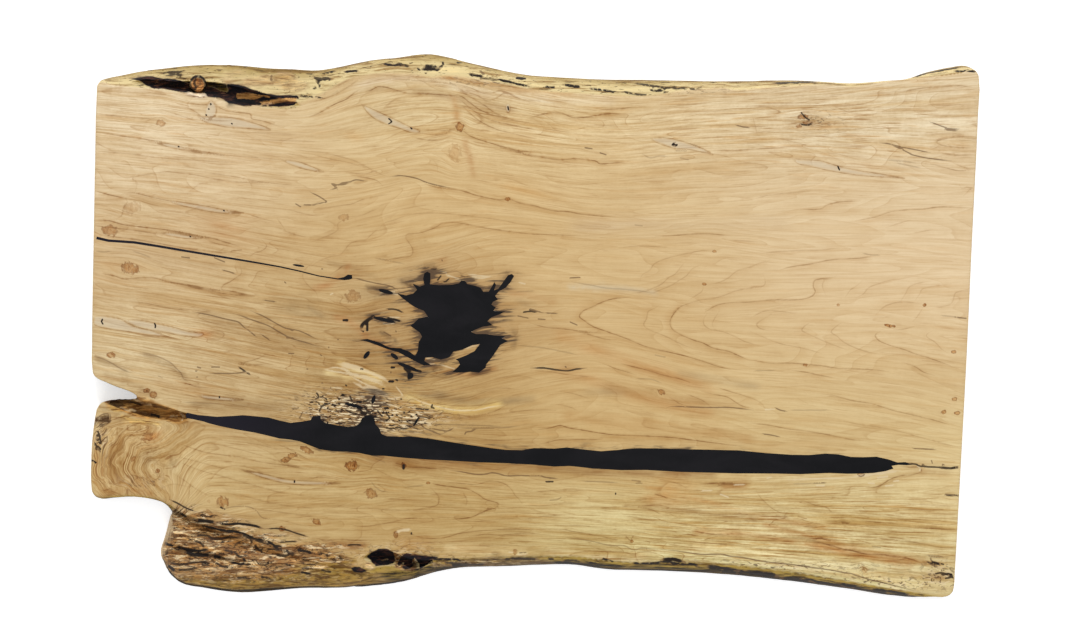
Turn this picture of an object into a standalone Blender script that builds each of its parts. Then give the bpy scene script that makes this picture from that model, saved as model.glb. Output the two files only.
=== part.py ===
"""A maple live edge slab with black resin in its natural voids, lying flat on its underside.

The slab is one grown piece: two stems that met in a crotch at the left, sawn to a plank, with the
log's own surface left on the long edges. Its plan is drawn on a grid of small units, about 1.7 mm
each, x to the right and y downwards. +Z is up, out of the sawn face.
"""

import math

import bmesh
import bpy
import numpy as np
from mathutils import noise

# Driving dimensions, in metres.
LENGTH = 1.524
THICKNESS = 0.051
RESIN_GAP = 0.0003
SEAM_DEPTH = 0.034
PLUG_DEPTH = 0.014
EASED_EDGE = 0.003
CUTTER_OVERSHOOT = 0.012

# The rim of the slab seen from above, clockwise from the left end's upper corner. Each station is
# (x, y, width): a point on the outermost edge, and how far in from it the flat sawn face begins.
RIM = [
    # upper live edge, wide over the bark pocket
    (97.3, 93, 1.8), (97.8, 85.5, 2.2), (101, 80.2, 4.5), (108, 77.5, 8.5), (121, 74.8, 13),
    (140, 71.2, 18.5), (164, 68.3, 23), (182, 66.2, 28), (198, 65, 32.5), (212, 64.5, 34),
    (226, 64.4, 38), (243, 65.4, 41), (258, 67, 42.5), (274, 68.2, 42.5), (290, 68.6, 41),
    (302, 69.4, 37), (311, 70.2, 31), (321, 69.8, 25), (332, 68, 19.5), (345, 65.2, 15.5),
    (360, 62, 15), (378, 59, 15.8), (398, 57.1, 17.6), (416, 54.6, 22), (431, 54, 25),
    (446, 56.6, 22), (461, 60.2, 18), (478, 64.3, 15.5), (496, 68.4, 14.5), (514, 72.3, 14.5),
    (532, 75, 15.5), (560, 76.9, 16.8), (589, 78.4, 17.2), (616, 79.2, 17.6), (642, 79.4, 18),
    (664, 79.7, 15.5), (682, 80.1, 11.5), (702, 80.5, 9.6), (720, 80.8, 8), (737, 80.8, 10.6),
    (762, 80.2, 8.4), (792, 80, 7), (812, 80.7, 5.2), (831, 82.1, 4.2), (850, 82.9, 5),
    (869, 82.1, 4), (888, 80.6, 2.8), (903, 79.6, 2.8), (911, 77.6, 3.2), (919, 74.5, 5),
    (927, 71.8, 6.6), (938, 69.2, 8.2), (951, 66.7, 9), (962, 65.1, 8.8), (968.5, 66.1, 6.4),
    (974, 69.6, 3.6), (977.6, 74, 2.2), (978.6, 79.5, 1.8),
    # sawn right end
    (977.6, 113, 1.8), (971.5, 240, 1.8), (966, 360, 1.8), (959.5, 480, 1.8), (954.3, 573.5, 1.8),
    # lower live edge
    (953.5, 586, 1.9), (951.6, 592.6, 2.1), (946.4, 596.2, 2.4), (933, 596.8, 3.2),
    (914, 597.5, 6), (886, 595, 8), (858, 590.6, 8.6), (822, 585.6, 10), (798, 582.3, 11),
    (774, 579.4, 11.2), (738, 575.8, 11.8), (700, 573.1, 11.6), (659, 571.1, 10), (630, 570.6, 9.4),
    (608, 569.8, 10.6), (592, 567.7, 10.6), (576, 565.4, 10.2), (554, 564.8, 9.8), (525, 565.8, 10.6),
    (497, 566.9, 11), (468, 567.4, 10.4), (446, 570, 12), (430, 574, 15), (416, 578.2, 18),
    (402.5, 581.8, 19.5), (389, 584.3, 20.5), (373, 585.7, 20), (356, 586.9, 19.5),
    (340, 583.6, 19), (320, 577, 19.5), (300, 570.6, 20), (280, 565.4, 20),
    # behind the spalted lobe, down in the valley between the two
    (262, 558.6, 19), (240, 549, 18), (220, 541, 16.5), (201, 533.6, 14.5), (185, 526, 12),
    (175.6, 518, 9), (171, 511.4, 6.4), (168, 506.6, 4.4), (163.8, 503, 3.4), (155.6, 500, 3.2),
    # end of the lower stem
    (145, 497.9, 3.2), (134, 496.8, 3.2), (112.5, 497.9, 3.4), (101.7, 498.7, 3.4), (96, 496.5, 3),
    (92.8, 492, 2.8), (91.8, 485, 2.6), (91.6, 465, 2.4), (93, 437, 2.4), (95, 421, 2.4),
    (96.3, 413.5, 2.6), (98, 407, 2.6), (101.6, 402.5, 2.4), (108, 400.1, 2), (118, 399.2, 1.8),
    # notch between the two stems
    (127, 399.1, 1.8), (133.6, 398.9, 1.8), (136.6, 398, 1.8), (137.1, 396.6, 1.8), (135.4, 394.8, 1.8),
    (130, 391.6, 1.8), (122.3, 388.6, 1.8), (114, 385.6, 1.8), (105.7, 382, 1.9), (98, 378.5, 2),
    (94.2, 375, 2), (92.9, 369, 1.8),
    # sawn left end
    (92.5, 345, 1.8), (93.2, 290, 1.8), (94.3, 230, 1.8), (95.6, 160, 1.8),
]
RIM_STEPS = 3

# The spalted lobe, a lesser stem that bulges out under the lower edge and fuses with the slab.
LOBE_RIM = [
    (172, 512.5, 5), (182, 511, 7), (193, 515, 13), (212, 523, 19), (235, 531, 22), (262, 539, 21),
    (290, 546, 18), (318, 553, 14), (342, 561, 10), (361, 569, 8), (367, 577, 7), (363, 583.4, 8),
    (352, 587, 12), (338, 588.2, 17), (318, 588, 21), (300, 588.3, 23), (280, 590, 25),
    (262, 591.6, 26), (242, 592.6, 27), (221, 590.8, 27), (201, 587.4, 24), (185, 584.7, 21),
    (175.4, 579.6, 19), (168.6, 572.6, 17), (164, 563, 15), (160.7, 555.5, 14), (160.6, 549, 13),
    (163.2, 541, 11), (166.8, 529, 8), (169.4, 518.5, 6),
]
LOBE_STEPS = 2
LOBE_TOP = 0.95

# Sections of the rim from the outermost edge inwards, as (share of the width, share of the
# thickness): a sawn end with an eased arris, and a live edge that slopes as the log did.
SAWN_SECTION = [(0.0, 0.06), (0.0, 0.5), (0.0, 0.935), (0.35, 0.982), (1.0, 1.0)]
LIVE_SECTION = [(0.0, 0.13), (0.13, 0.38), (0.38, 0.66), (0.7, 0.885), (1.0, 1.0)]
SAWN_WIDTH = 2.6
LIVE_WIDTH = 7.0
LUMP_HEIGHT = 0.005
LUMP_LENGTH = 0.045

# The banks of the resin river, from its left tip to its right one.
RIVER_UPPER_BANK = [
    (186, 414.4), (188, 412.6), (198, 414.8), (217, 416.6), (233, 415.8), (243, 415.1), (259, 416.4),
    (269, 417.4), (280, 420.4), (291, 422.7), (303, 421.3), (311, 419.9), (313, 416), (321, 415.4),
    (321, 419.6), (326, 422.8), (337, 425.1), (349, 426.7), (356, 425.9), (360, 423), (362, 418.6),
    (365, 415.8), (371, 415.2), (374.6, 418), (375.6, 424), (379.6, 428.4), (381.6, 434),
    (387, 436), (400, 436.6), (412, 436.4), (429, 438.3), (447, 441.2), (462, 443.6), (477, 445.8),
    (492, 448), (506, 449.6), (522, 449.9), (534, 447.9), (554, 448.4), (567, 447.3), (583, 449.2),
    (601, 451), (617, 449.8), (634, 448.1), (660, 448.2), (688, 449.1), (715, 449.6), (740, 450.3),
    (765, 452.8), (792, 454.6), (809, 454.8), (825, 453.4), (838, 454.2), (851, 456.8), (863, 457),
    (876, 456.5), (888, 459.2), (897, 462.3), (905, 461.9), (912.5, 464.4),
]
RIVER_LOWER_BANK = [
    (906, 465), (898, 464.6), (891, 465.6), (893, 468.4), (885, 471), (873, 472.8), (861, 473.4),
    (848, 473.6), (829, 472.8), (800, 474), (774, 473.4), (737, 473.2), (714, 472.6), (679, 471.7),
    (646, 469.8), (621, 470), (592, 468.2), (574, 466.2), (569, 465.8), (554, 466.4), (535, 464.6),
    (506, 463), (477, 462.1), (448, 460.4), (429, 459.5), (406, 457.8), (384, 455.6), (372, 455.4),
    (360, 452.9), (349, 451.6), (332, 450.9), (320, 449.2), (309, 444.8), (300, 441.2), (291, 439.5),
    (280, 438.4), (257, 432.8), (237, 429.4), (221, 426.2), (210, 423.4), (204, 421.4), (194, 419.2),
    (187.4, 418),
]

# The shore of the rotted hole, clockwise from its upper left inlet.
POOL_SHORE = [
    (397.6, 293.6), (406, 295.3), (413, 293.8), (417.2, 289.8), (412.6, 283.4), (419.6, 286.6),
    (424.6, 285), (423.3, 279), (424.3, 273.6), (427.4, 271.6), (430.5, 273.4), (430.6, 280),
    (430, 284.3), (439, 285.2), (452, 284.8), (459, 283.4), (461.4, 280.6), (465, 281), (467.6, 284.2),
    (475, 285.7), (480.6, 287.8), (483.4, 292), (488.6, 291.8), (492, 286.6), (494.4, 282),
    (496, 284.8), (494, 290.4), (498.4, 288.8), (504, 280.8), (508.2, 275.2), (511.8, 274),
    (514.2, 276), (510.6, 282.2), (505.4, 288), (498.8, 291.4), (495.2, 296), (498, 299.6),
    (493, 301.8), (491.4, 304.6), (495.8, 307.4), (493.2, 310.8), (499, 311.2), (505.6, 311.4),
    (498.8, 314.6), (491.4, 317.4), (487.4, 321.2), (493, 325.4), (483, 326.6), (475, 329.8),
    (470.8, 332), (476, 334), (486, 334), (494.4, 335.4), (505.6, 336), (501.8, 338.4), (508.4, 340.8),
    (500.2, 345), (496.4, 351), (491.4, 358), (486.2, 364.6), (485.6, 367.8), (479, 372.4),
    (470.4, 371.8), (460.6, 372.5), (452.4, 372), (456.6, 368.4), (460, 364.4), (458.6, 361),
    (455.6, 359.4), (466, 355.4), (474.6, 351), (480, 344), (472.4, 345.2), (462, 349.8),
    (453.4, 351.6), (449.4, 357.4), (441, 359.6), (432, 357), (425.6, 357.6), (424.4, 361),
    (431, 364.8), (424, 365.4), (417, 362), (408.6, 357.6), (398.6, 352.2), (387.4, 349), (376.4, 344.8),
    (366, 341.2), (358, 340), (367.6, 338.8), (378.4, 342), (389.4, 347.4), (400.6, 348.2),
    (409.6, 351.6), (415.2, 355.8), (418, 350.6), (418.8, 342), (422.2, 336.6), (419.8, 332.4),
    (410.4, 325.8), (414.6, 322.6), (418.8, 318.4), (428.2, 316.6), (424, 310.8), (418.4, 308.7),
    (412.8, 305.8), (407.2, 301.6), (402.4, 298),
]

# The thin check in from the left end, as (x, y, half width), and the blob that closes it.
SEAM = [
    (97, 238, 1.35), (109, 240.7, 1.3), (135, 242.5, 1.25), (157, 246, 1.2), (181, 250.1, 1.15),
    (214, 255.6, 1.05), (243, 260.4, 0.95), (262, 263.6, 0.85), (281, 267, 0.75), (300, 271.2, 0.65),
    (319, 276, 0.6), (338, 279, 0.6), (344.5, 278.6, 1.6), (348.8, 277.2, 2.6), (352.4, 276.9, 1.8),
]

# Small fills, as (name, x, y, half length, half width, turn in degrees anticlockwise).
PLUGS = [
    ("resin_plug_above_seam", 298.8, 265.6, 6.0, 1.1, -9),
    ("resin_plug_left_inlet", 386.0, 291.6, 7.5, 2.0, -14),
    ("resin_plug_left_fork", 384.6, 319.8, 11.5, 1.9, -13),
    ("resin_plug_lower_left", 366.8, 354.9, 4.6, 2.2, 52),
    ("resin_plug_round", 394.6, 356.2, 4.6, 2.1, -38),
    ("resin_plug_under_finger", 408.2, 367.0, 11.6, 2.0, -22),
    ("resin_plug_drop", 410.6, 375.6, 3.4, 3.0, 70),
    ("resin_plug_river_streak", 354.4, 405.6, 10.0, 1.7, -15),
    ("resin_plug_river_stub", 373.6, 399.4, 4.4, 1.9, 72),
    ("resin_plug_river_hook", 416.4, 421.4, 5.6, 1.2, 58),
]
PLUG_SIDES = 14

# Hollows in the wood, each a swept form: (x, y, depth of its axis under the sawn face, half width).
# Its depth under that axis is the half width times the hollow's own steepness.
CROTCH_HOLLOW = [(110, 402.5, 2, 2.0), (121, 404.2, 3, 5.5), (134, 406, 4, 8.0), (150, 409.6, 4, 8.6),
                 (166, 413.2, 3, 7.4), (178, 415.2, 2, 5.4), (188, 416, 1, 3.0)]
BARK_POCKET = [(131, 81, 4, 1.5), (150, 84.5, 7, 5.0), (172, 88, 8, 7.2), (192, 89.5, 8, 8.8),
               (214, 91, 8, 8.6), (238, 96.4, 7, 9.2), (262, 101, 5, 7.4), (284, 104.6, 1, 5.0),
               (306, 106, -3, 2.2)]
LOWER_POCKET = [(364, 558.4, -2, 2.2), (373, 557.2, 1, 5.8), (384, 557, 3, 8.6), (394, 558.4, 4, 7.6),
                (402, 560, 4, 5.4), (412, 561.4, 6, 6.6), (424, 561, 5, 5.2), (433, 560, 3, 2.2)]
LOBE_VALLEY = [(158, 502.6, 4, 3.4), (167, 506.8, 5, 4.6), (178, 512.5, 5, 4.6), (192, 519, 4, 4.2),
               (208, 525.4, 3, 4.0), (226, 531, 2, 3.4), (246, 536.6, 1, 3.0), (268, 543, 0, 2.6),
               (292, 549.4, -1, 1.8)]
LOBE_RIFT = [(160, 544.6, 5, 2.6), (172, 547, 4, 3.4), (190, 551, 3, 4.0), (208, 555, 3, 3.6),
             (226, 558.8, 3, 2.8), (246, 562, 1, 1.6)]
LOBE_GROOVE = [(206, 537, 2, 1.8), (224, 541.4, 2, 2.8), (246, 548, 3, 3.2), (270, 554.4, 3, 2.6),
               (292, 558, 1, 1.4)]
HOLLOWS = [
    ("crotch_hollow", CROTCH_HOLLOW, 1.45),
    ("bark_pocket", BARK_POCKET, 0.9),
    ("lower_pocket", LOWER_POCKET, 1.1),
    ("lobe_valley", LOBE_VALLEY, 0.85),
    ("lobe_rift", LOBE_RIFT, 0.7),
    ("lobe_groove", LOBE_GROOVE, 0.7),
]

# The branch stub that stands in the bark pocket.
STUB_PLACE = (197.6, 84.5)
STUB_RADIUS = 7.6
STUB_FOOT = 0.35
STUB_TOP = 0.86
STUB_ROUNDING = 0.0022

MAPLE = ((0.62, 0.45, 0.25), 0.5)
BLACK_RESIN = ((0.016, 0.015, 0.018), 0.3)


def clear_scene():
    """Remove what the startup file holds."""
    for thing in list(bpy.data.objects):
        bpy.data.objects.remove(thing)


def new_collection(name):
    """A collection in the scene."""
    made = bpy.data.collections.new(name)
    bpy.context.scene.collection.children.link(made)
    return made


def new_material(name, look):
    """A Principled material of one colour and roughness."""
    colour, roughness = look
    made = bpy.data.materials.new(name)
    made.use_nodes = True
    shader = made.node_tree.nodes["Principled BSDF"]
    shader.inputs["Base Color"].default_value = (*colour, 1.0)
    shader.inputs["Roughness"].default_value = roughness
    return made


def smooth_path(points, steps, closed):
    """A cubic through every row of points, with steps samples to each span. The tangent at a point
    is the mean of the slopes beside it, each weighted by the other span's length."""
    rows = np.array(points, float)
    count = len(rows)
    ahead = np.roll(rows, -1, axis=0) - rows
    span = np.linalg.norm(ahead[:, :2], axis=1)
    slope = ahead / span[:, None]
    before, span_before = np.roll(slope, 1, axis=0), np.roll(span, 1)
    tangent = (slope * span_before[:, None] + before * span[:, None]) / (span + span_before)[:, None]
    if not closed:
        tangent[0], tangent[-1] = slope[0], slope[-2]
    made = []
    for i in range(count if closed else count - 1):
        j = (i + 1) % count
        for step in range(steps):
            t = step / steps
            made.append(
                (2 * t**3 - 3 * t**2 + 1) * rows[i]
                + (t**3 - 2 * t**2 + t) * span[i] * tangent[i]
                + (3 * t**2 - 2 * t**3) * rows[j]
                + (t**3 - t**2) * span[i] * tangent[j]
            )
    if not closed:
        made.append(rows[-1])
    return np.array(made)


def inward_normals(plan):
    """Unit normals that point into a closed outline drawn clockwise with y downwards."""
    along = np.roll(plan, -1, axis=0) - np.roll(plan, 1, axis=0)
    along /= np.linalg.norm(along, axis=1)[:, None]
    return np.stack([-along[:, 1], along[:, 0]], axis=1)


def drawing_box():
    """The lowest and highest x and y of the rim in the drawing."""
    rim = smooth_path(RIM, RIM_STEPS, True)[:, :2]
    return rim.min(axis=0), rim.max(axis=0)


DRAWING_LOW, DRAWING_HIGH = drawing_box()
CENTRE_X, CENTRE_Y = (DRAWING_LOW + DRAWING_HIGH) / 2
UNIT = LENGTH / (DRAWING_HIGH - DRAWING_LOW)[0]


def metres(x, y):
    """A point of the drawing in the slab's own frame."""
    return (x - CENTRE_X) * UNIT, (CENTRE_Y - y) * UNIT


def new_object(name, mesh, collection, material=None):
    """An object for a mesh, in a collection."""
    made = bpy.data.objects.new(name, mesh)
    collection.objects.link(made)
    if material is not None:
        mesh.materials.append(material)
    return made


def flat_prism(name, outline, low, high, collection, material=None):
    """A 2D curve along a closed outline, filled and extruded between two heights, as a mesh."""
    curve = bpy.data.curves.new(name, "CURVE")
    curve.dimensions = "2D"
    curve.fill_mode = "BOTH"
    curve.extrude = (high - low) / 2
    spline = curve.splines.new("POLY")
    spline.points.add(len(outline) - 1)
    for point, (x, y) in zip(spline.points, outline):
        point.co = (*metres(x, y), 0.0, 1.0)
    spline.use_cyclic_u = True
    drawn = new_object(name + "_outline", curve, collection)
    drawn.location.z = (high + low) / 2
    return as_mesh(name, drawn, collection, material)


def as_mesh(name, drawn, collection, material=None):
    """The mesh of a curve object with its caps welded, in place of the curve."""
    bpy.context.view_layer.update()
    evaluated = drawn.evaluated_get(bpy.context.evaluated_depsgraph_get())
    mesh = bpy.data.meshes.new_from_object(evaluated)
    mesh.materials.clear()
    mesh.transform(drawn.matrix_world)
    bpy.data.objects.remove(drawn)
    sheet = bmesh.new()
    sheet.from_mesh(mesh)
    bmesh.ops.remove_doubles(sheet, verts=sheet.verts, dist=1e-6)
    bmesh.ops.recalc_face_normals(sheet, faces=sheet.faces)
    sheet.to_mesh(mesh)
    sheet.free()
    return new_object(name, mesh, collection, material)


def grown(outline, distance):
    """A closed clockwise outline moved outwards by a distance in metres, keeping that distance at
    its sharp tips: a tip becomes three points, and every other corner moves along its mitre."""
    plan = np.array(outline, float)
    leaving = np.roll(plan, -1, axis=0) - plan
    leaving /= np.linalg.norm(leaving, axis=1)[:, None]
    arriving = np.roll(leaving, 1, axis=0)
    reach = distance / UNIT
    made = []
    for corner, (ax, ay), (bx, by) in zip(plan, arriving, leaving):
        first, second = np.array([ay, -ax]), np.array([by, -bx])
        turn, agreement = ax * by - ay * bx, ax * bx + ay * by
        if turn > 0 and agreement < 0.6:
            middle = np.array([ax - bx, ay - by])
            middle /= np.linalg.norm(middle)
            made += [corner + first * reach, corner + middle * reach, corner + second * reach]
        else:
            made.append(corner + (first + second) * (reach / (1 + agreement)))
    return np.array(made)


def river_outline():
    """The closed outline of the resin river: the upper bank out and the lower one back."""
    return RIVER_UPPER_BANK + RIVER_LOWER_BANK


def seam_outline():
    """The closed outline of the seam: its path moved up by the half width and back below."""
    path = smooth_path(SEAM, 1, False)
    along = np.gradient(path[:, :2], axis=0)
    along /= np.linalg.norm(along, axis=1)[:, None]
    upward = np.stack([along[:, 1], -along[:, 0]], axis=1) * path[:, 2:3]
    return np.concatenate([path[:, :2] + upward, (path[:, :2] - upward)[::-1]])


def resin_fills():
    """Every large fill as (name, closed outline, height of its foot)."""
    return [
        ("resin_river", river_outline(), 0.0),
        ("resin_pool", POOL_SHORE, 0.0),
        ("resin_seam", seam_outline(), THICKNESS - SEAM_DEPTH),
    ]


def plug(name, place, collection, spare=0.0, material=None):
    """A small fill: a cylinder squeezed to an ellipse, with its top in the sawn face."""
    x, y, half_length, half_width, turn = place
    overshoot = CUTTER_OVERSHOOT if spare else 0.0
    depth = PLUG_DEPTH + spare + overshoot
    bpy.ops.mesh.primitive_cylinder_add(vertices=PLUG_SIDES, radius=1.0, depth=depth)
    made = bpy.context.object
    made.name = made.data.name = name
    made.location = (*metres(x, y), THICKNESS + overshoot - depth / 2)
    made.rotation_euler.z = math.radians(turn)
    made.scale = (half_length * UNIT + spare, half_width * UNIT + spare, 1.0)
    bpy.ops.object.transform_apply(location=False, rotation=False, scale=True)
    for held in list(made.users_collection):
        held.objects.unlink(made)
    collection.objects.link(made)
    if material is not None:
        made.data.materials.append(material)
    return made


def swept_hollow(name, path, steepness, collection):
    """A cutter for a hollow: a round tube along a smooth path, as wide as each point says, and
    squeezed or stretched in height by its steepness."""
    rows = smooth_path(path, 2, False)
    curve = bpy.data.curves.new(name, "CURVE")
    curve.dimensions = "3D"
    curve.bevel_depth = UNIT
    curve.bevel_resolution = 2
    curve.use_fill_caps = True
    spline = curve.splines.new("POLY")
    spline.points.add(len(rows) - 1)
    for point, (x, y, sunk, half_width) in zip(spline.points, rows):
        point.co = (*metres(x, y), -sunk * UNIT / steepness, 1.0)
        point.radius = half_width
    drawn = new_object(name + "_path", curve, collection)
    drawn.location.z = THICKNESS
    drawn.scale.z = steepness
    return as_mesh(name, drawn, collection)


def two_rails(rim, steps):
    """The outermost edge and the flat face's edge as matching smooth loops, and the share of a live
    edge in each station: none where the rim is as narrow as a saw leaves it."""
    rows = np.array(rim, float)
    inner = rows[:, :2] + inward_normals(rows[:, :2]) * rows[:, 2:3]
    outer_rail = smooth_path(rows[:, :2], steps, True)
    inner_rail = smooth_path(inner, steps, True)
    width = np.linalg.norm(inner_rail - outer_rail, axis=1)
    return outer_rail, inner_rail, np.clip((width - SAWN_WIDTH) / (LIVE_WIDTH - SAWN_WIDTH), 0, 1)


def ring(plan, height, live):
    """One ring of the loft, with low lumps on the live stretches, as a log has under its bark."""
    made = []
    for (x, y), z, softness in zip(plan, height, live * 4 * height * (1 - height)):
        px, py = metres(x, y)
        lump = noise.noise((px / LUMP_LENGTH, py / LUMP_LENGTH, 3.7)) * LUMP_HEIGHT * softness
        made.append((px, py, z * THICKNESS + lump))
    return made


def rim_loft(name, rim, steps, top, collection, material=None):
    """A closed solid: rings lofted from the underside up the rim to the flat face, and capped."""
    outer, inner, live = two_rails(rim, steps)
    inward = inner - outer
    eased = inward * (EASED_EDGE / UNIT / np.linalg.norm(inward, axis=1))[:, None]
    rings = [ring(outer + eased, np.zeros(len(outer)), live)]
    for (sawn_in, sawn_up), (live_in, live_up) in zip(SAWN_SECTION, LIVE_SECTION):
        share = sawn_in + (live_in - sawn_in) * live
        height = sawn_up + (live_up - sawn_up) * live
        rings.append(ring(outer + inward * share[:, None], height * top, live))
    sheet = bmesh.new()
    loops = []
    for place, corners in enumerate(rings):
        corners = [sheet.verts.new(corner) for corner in corners]
        loops.append([sheet.edges.new((a, b)) for a, b in zip(corners, corners[1:] + corners[:1])])
        if place in (0, len(rings) - 1):
            sheet.faces.new(corners)
    for lower, upper in zip(loops, loops[1:]):
        bmesh.ops.bridge_loops(sheet, edges=lower + upper)
    bmesh.ops.recalc_face_normals(sheet, faces=sheet.faces)
    mesh = bpy.data.meshes.new(name)
    sheet.to_mesh(mesh)
    sheet.free()
    return new_object(name, mesh, collection, material)


def branch_stub(collection):
    """The sawn-off branch in the bark pocket: a short tapered cylinder with a rounded top."""
    height = (STUB_TOP - STUB_FOOT) * THICKNESS
    sheet = bmesh.new()
    bmesh.ops.create_cone(sheet, cap_ends=True, segments=20, radius1=STUB_RADIUS * UNIT * 1.15,
                          radius2=STUB_RADIUS * UNIT * 0.92, depth=height)
    arris = [e for e in sheet.edges if all(v.co.z > 0 for v in e.verts)]
    bmesh.ops.bevel(sheet, geom=arris, offset=STUB_ROUNDING, segments=2, affect="EDGES")
    mesh = bpy.data.meshes.new("branch_stub")
    sheet.to_mesh(mesh)
    sheet.free()
    made = new_object("branch_stub", mesh, collection)
    made.location = (*metres(*STUB_PLACE), STUB_FOOT * THICKNESS + height / 2)
    return made


def boolean(target, other, operation):
    """A Boolean modifier on target, left live."""
    modifier = target.modifiers.new(other.name, "BOOLEAN")
    modifier.operation = operation
    modifier.object = other
    other.hide_render = True
    other.display_type = "WIRE"


def settle(thing, degrees):
    """Apply the Booleans, shade the round surfaces smooth and keep every sharper edge, also those
    that the cuts have made."""
    bpy.context.view_layer.update()
    evaluated = thing.evaluated_get(bpy.context.evaluated_depsgraph_get())
    mesh = bpy.data.meshes.new_from_object(evaluated)
    thing.modifiers.clear()
    thing.data = mesh
    mesh.name = thing.name
    mesh.shade_smooth()
    mesh.set_sharp_from_angle(angle=math.radians(degrees))
    thing.modifiers.new("large_faces_lead", "WEIGHTED_NORMAL").keep_sharp = True


def main():
    clear_scene()
    parts = new_collection("maple_live_edge_slab")
    cutters = new_collection("cutters")
    maple = new_material("maple", MAPLE)
    resin = new_material("black_resin", BLACK_RESIN)

    slab = rim_loft("maple_slab", RIM, RIM_STEPS, 1.0, parts, maple)
    lobe = rim_loft("spalted_lobe", LOBE_RIM, LOBE_STEPS, LOBE_TOP, cutters)
    boolean(slab, lobe, "UNION")
    for name, path, steepness in HOLLOWS:
        boolean(slab, swept_hollow(name, path, steepness, cutters), "DIFFERENCE")
    boolean(slab, branch_stub(cutters), "UNION")

    top = THICKNESS + CUTTER_OVERSHOOT
    for name, outline, foot in resin_fills():
        flat_prism(name, outline, foot, THICKNESS, parts, resin)
        below = foot - RESIN_GAP if foot > 0 else -CUTTER_OVERSHOOT
        void = flat_prism(name + "_void", grown(outline, RESIN_GAP), below, top, cutters)
        boolean(slab, void, "DIFFERENCE")
    for name, *place in PLUGS:
        plug(name, place, parts, material=resin)
        boolean(slab, plug(name + "_hole", place, cutters, spare=RESIN_GAP), "DIFFERENCE")
    settle(slab, 30)


main()
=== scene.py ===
# %% [markdown]
# # A live edge maple slab with black resin
# The real thing is a two inch slab sawn lengthways through a maple where the trunk forks. Its long
# sides keep the log's own surface, its rotted hole and the gap between the two stems are filled with
# black resin, and its face is sanded and oiled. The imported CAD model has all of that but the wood:
# grain, growth lines, fungus lines, beetle marks, knots and stains. This script covers the slab with a
# fine mesh that carries them as values at its points, and mixes a wood from those values with nodes.

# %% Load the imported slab
import math

import bmesh
import bpy
import numpy as np
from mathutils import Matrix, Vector
from mathutils.geometry import delaunay_2d_cdt


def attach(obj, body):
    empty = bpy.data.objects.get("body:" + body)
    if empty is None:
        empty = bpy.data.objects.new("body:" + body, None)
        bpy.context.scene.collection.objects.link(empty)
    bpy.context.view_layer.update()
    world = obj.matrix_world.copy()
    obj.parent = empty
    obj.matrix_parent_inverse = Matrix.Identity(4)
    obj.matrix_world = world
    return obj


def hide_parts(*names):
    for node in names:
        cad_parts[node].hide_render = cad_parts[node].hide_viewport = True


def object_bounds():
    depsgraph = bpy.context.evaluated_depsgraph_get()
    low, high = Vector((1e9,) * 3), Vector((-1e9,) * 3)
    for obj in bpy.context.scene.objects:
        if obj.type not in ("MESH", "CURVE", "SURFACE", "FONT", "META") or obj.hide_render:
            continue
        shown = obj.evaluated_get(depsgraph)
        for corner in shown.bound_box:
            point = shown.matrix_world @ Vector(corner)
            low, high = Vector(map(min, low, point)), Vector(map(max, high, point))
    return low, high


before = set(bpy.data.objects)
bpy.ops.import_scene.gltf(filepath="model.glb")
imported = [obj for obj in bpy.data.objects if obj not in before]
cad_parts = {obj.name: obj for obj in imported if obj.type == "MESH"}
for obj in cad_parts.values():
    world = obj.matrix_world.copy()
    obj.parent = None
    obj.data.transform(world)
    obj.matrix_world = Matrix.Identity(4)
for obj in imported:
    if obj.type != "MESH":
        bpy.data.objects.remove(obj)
cad_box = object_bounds()
SLAB_LOW, SLAB_HIGH = (np.array(corner) for corner in cad_box)
LENGTH, WIDTH, THICKNESS = SLAB_HIGH - SLAB_LOW
print(f"slab {LENGTH * 1000:.1f} x {WIDTH * 1000:.1f} x {THICKNESS * 1000:.1f} mm, "
      f"{len(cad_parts)} CAD nodes")

# %% [markdown]
# ## From the photograph to the slab
# Every marking is placed in the photograph's own pixels. The photograph looks straight down from
# far away, so one scale and one shift turn a pixel into a place on the slab. They come from the slab's
# box and from the pixels of its outermost points.

# %% The scale of the photograph
PHOTO_WIDTH, PHOTO_HEIGHT = 1065, 627
OUTLINE_LEFT, OUTLINE_RIGHT = 91.4087, 979.1643
OUTLINE_TOP, OUTLINE_BOTTOM = 53.9182, 597.5
PIXEL = LENGTH / (OUTLINE_RIGHT - OUTLINE_LEFT)
MIDDLE = np.array([OUTLINE_LEFT + OUTLINE_RIGHT, OUTLINE_TOP + OUTLINE_BOTTOM]) / 2


def metres(places):
    """Photograph pixels to metres: less the middle, times the scale, with y turned upwards."""
    return (np.asarray(places, float) - MIDDLE) * (PIXEL, -PIXEL)


def pixels(places):
    """Metres to photograph pixels: the same steps backwards."""
    return np.asarray(places, float) / (PIXEL, -PIXEL) + MIDDLE


print(f"one pixel of the photograph is {PIXEL * 1000:.3f} mm")

# %% [markdown]
# ## Camera
# A long lens from high above flattens the view as the photograph does, so the sides hardly show. Its
# length follows from one ratio: lens / sensor = distance / width of the view.

# %% Place the camera
CAMERA_HEIGHT = 20.0
SENSOR_WIDTH = 36.0

camera_data = bpy.data.cameras.new("studio_camera")
camera_data.sensor_width = SENSOR_WIDTH
camera_data.lens = SENSOR_WIDTH * CAMERA_HEIGHT / (PHOTO_WIDTH * PIXEL)
camera_data.clip_end = 200.0
camera = bpy.data.objects.new("studio_camera", camera_data)
camera.location = (*metres((PHOTO_WIDTH / 2, PHOTO_HEIGHT / 2)), THICKNESS / 2 + CAMERA_HEIGHT)
bpy.context.collection.objects.link(camera)
bpy.context.scene.camera = camera
print(f"lens {camera_data.lens:.0f} mm at {CAMERA_HEIGHT:.0f} m")

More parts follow.
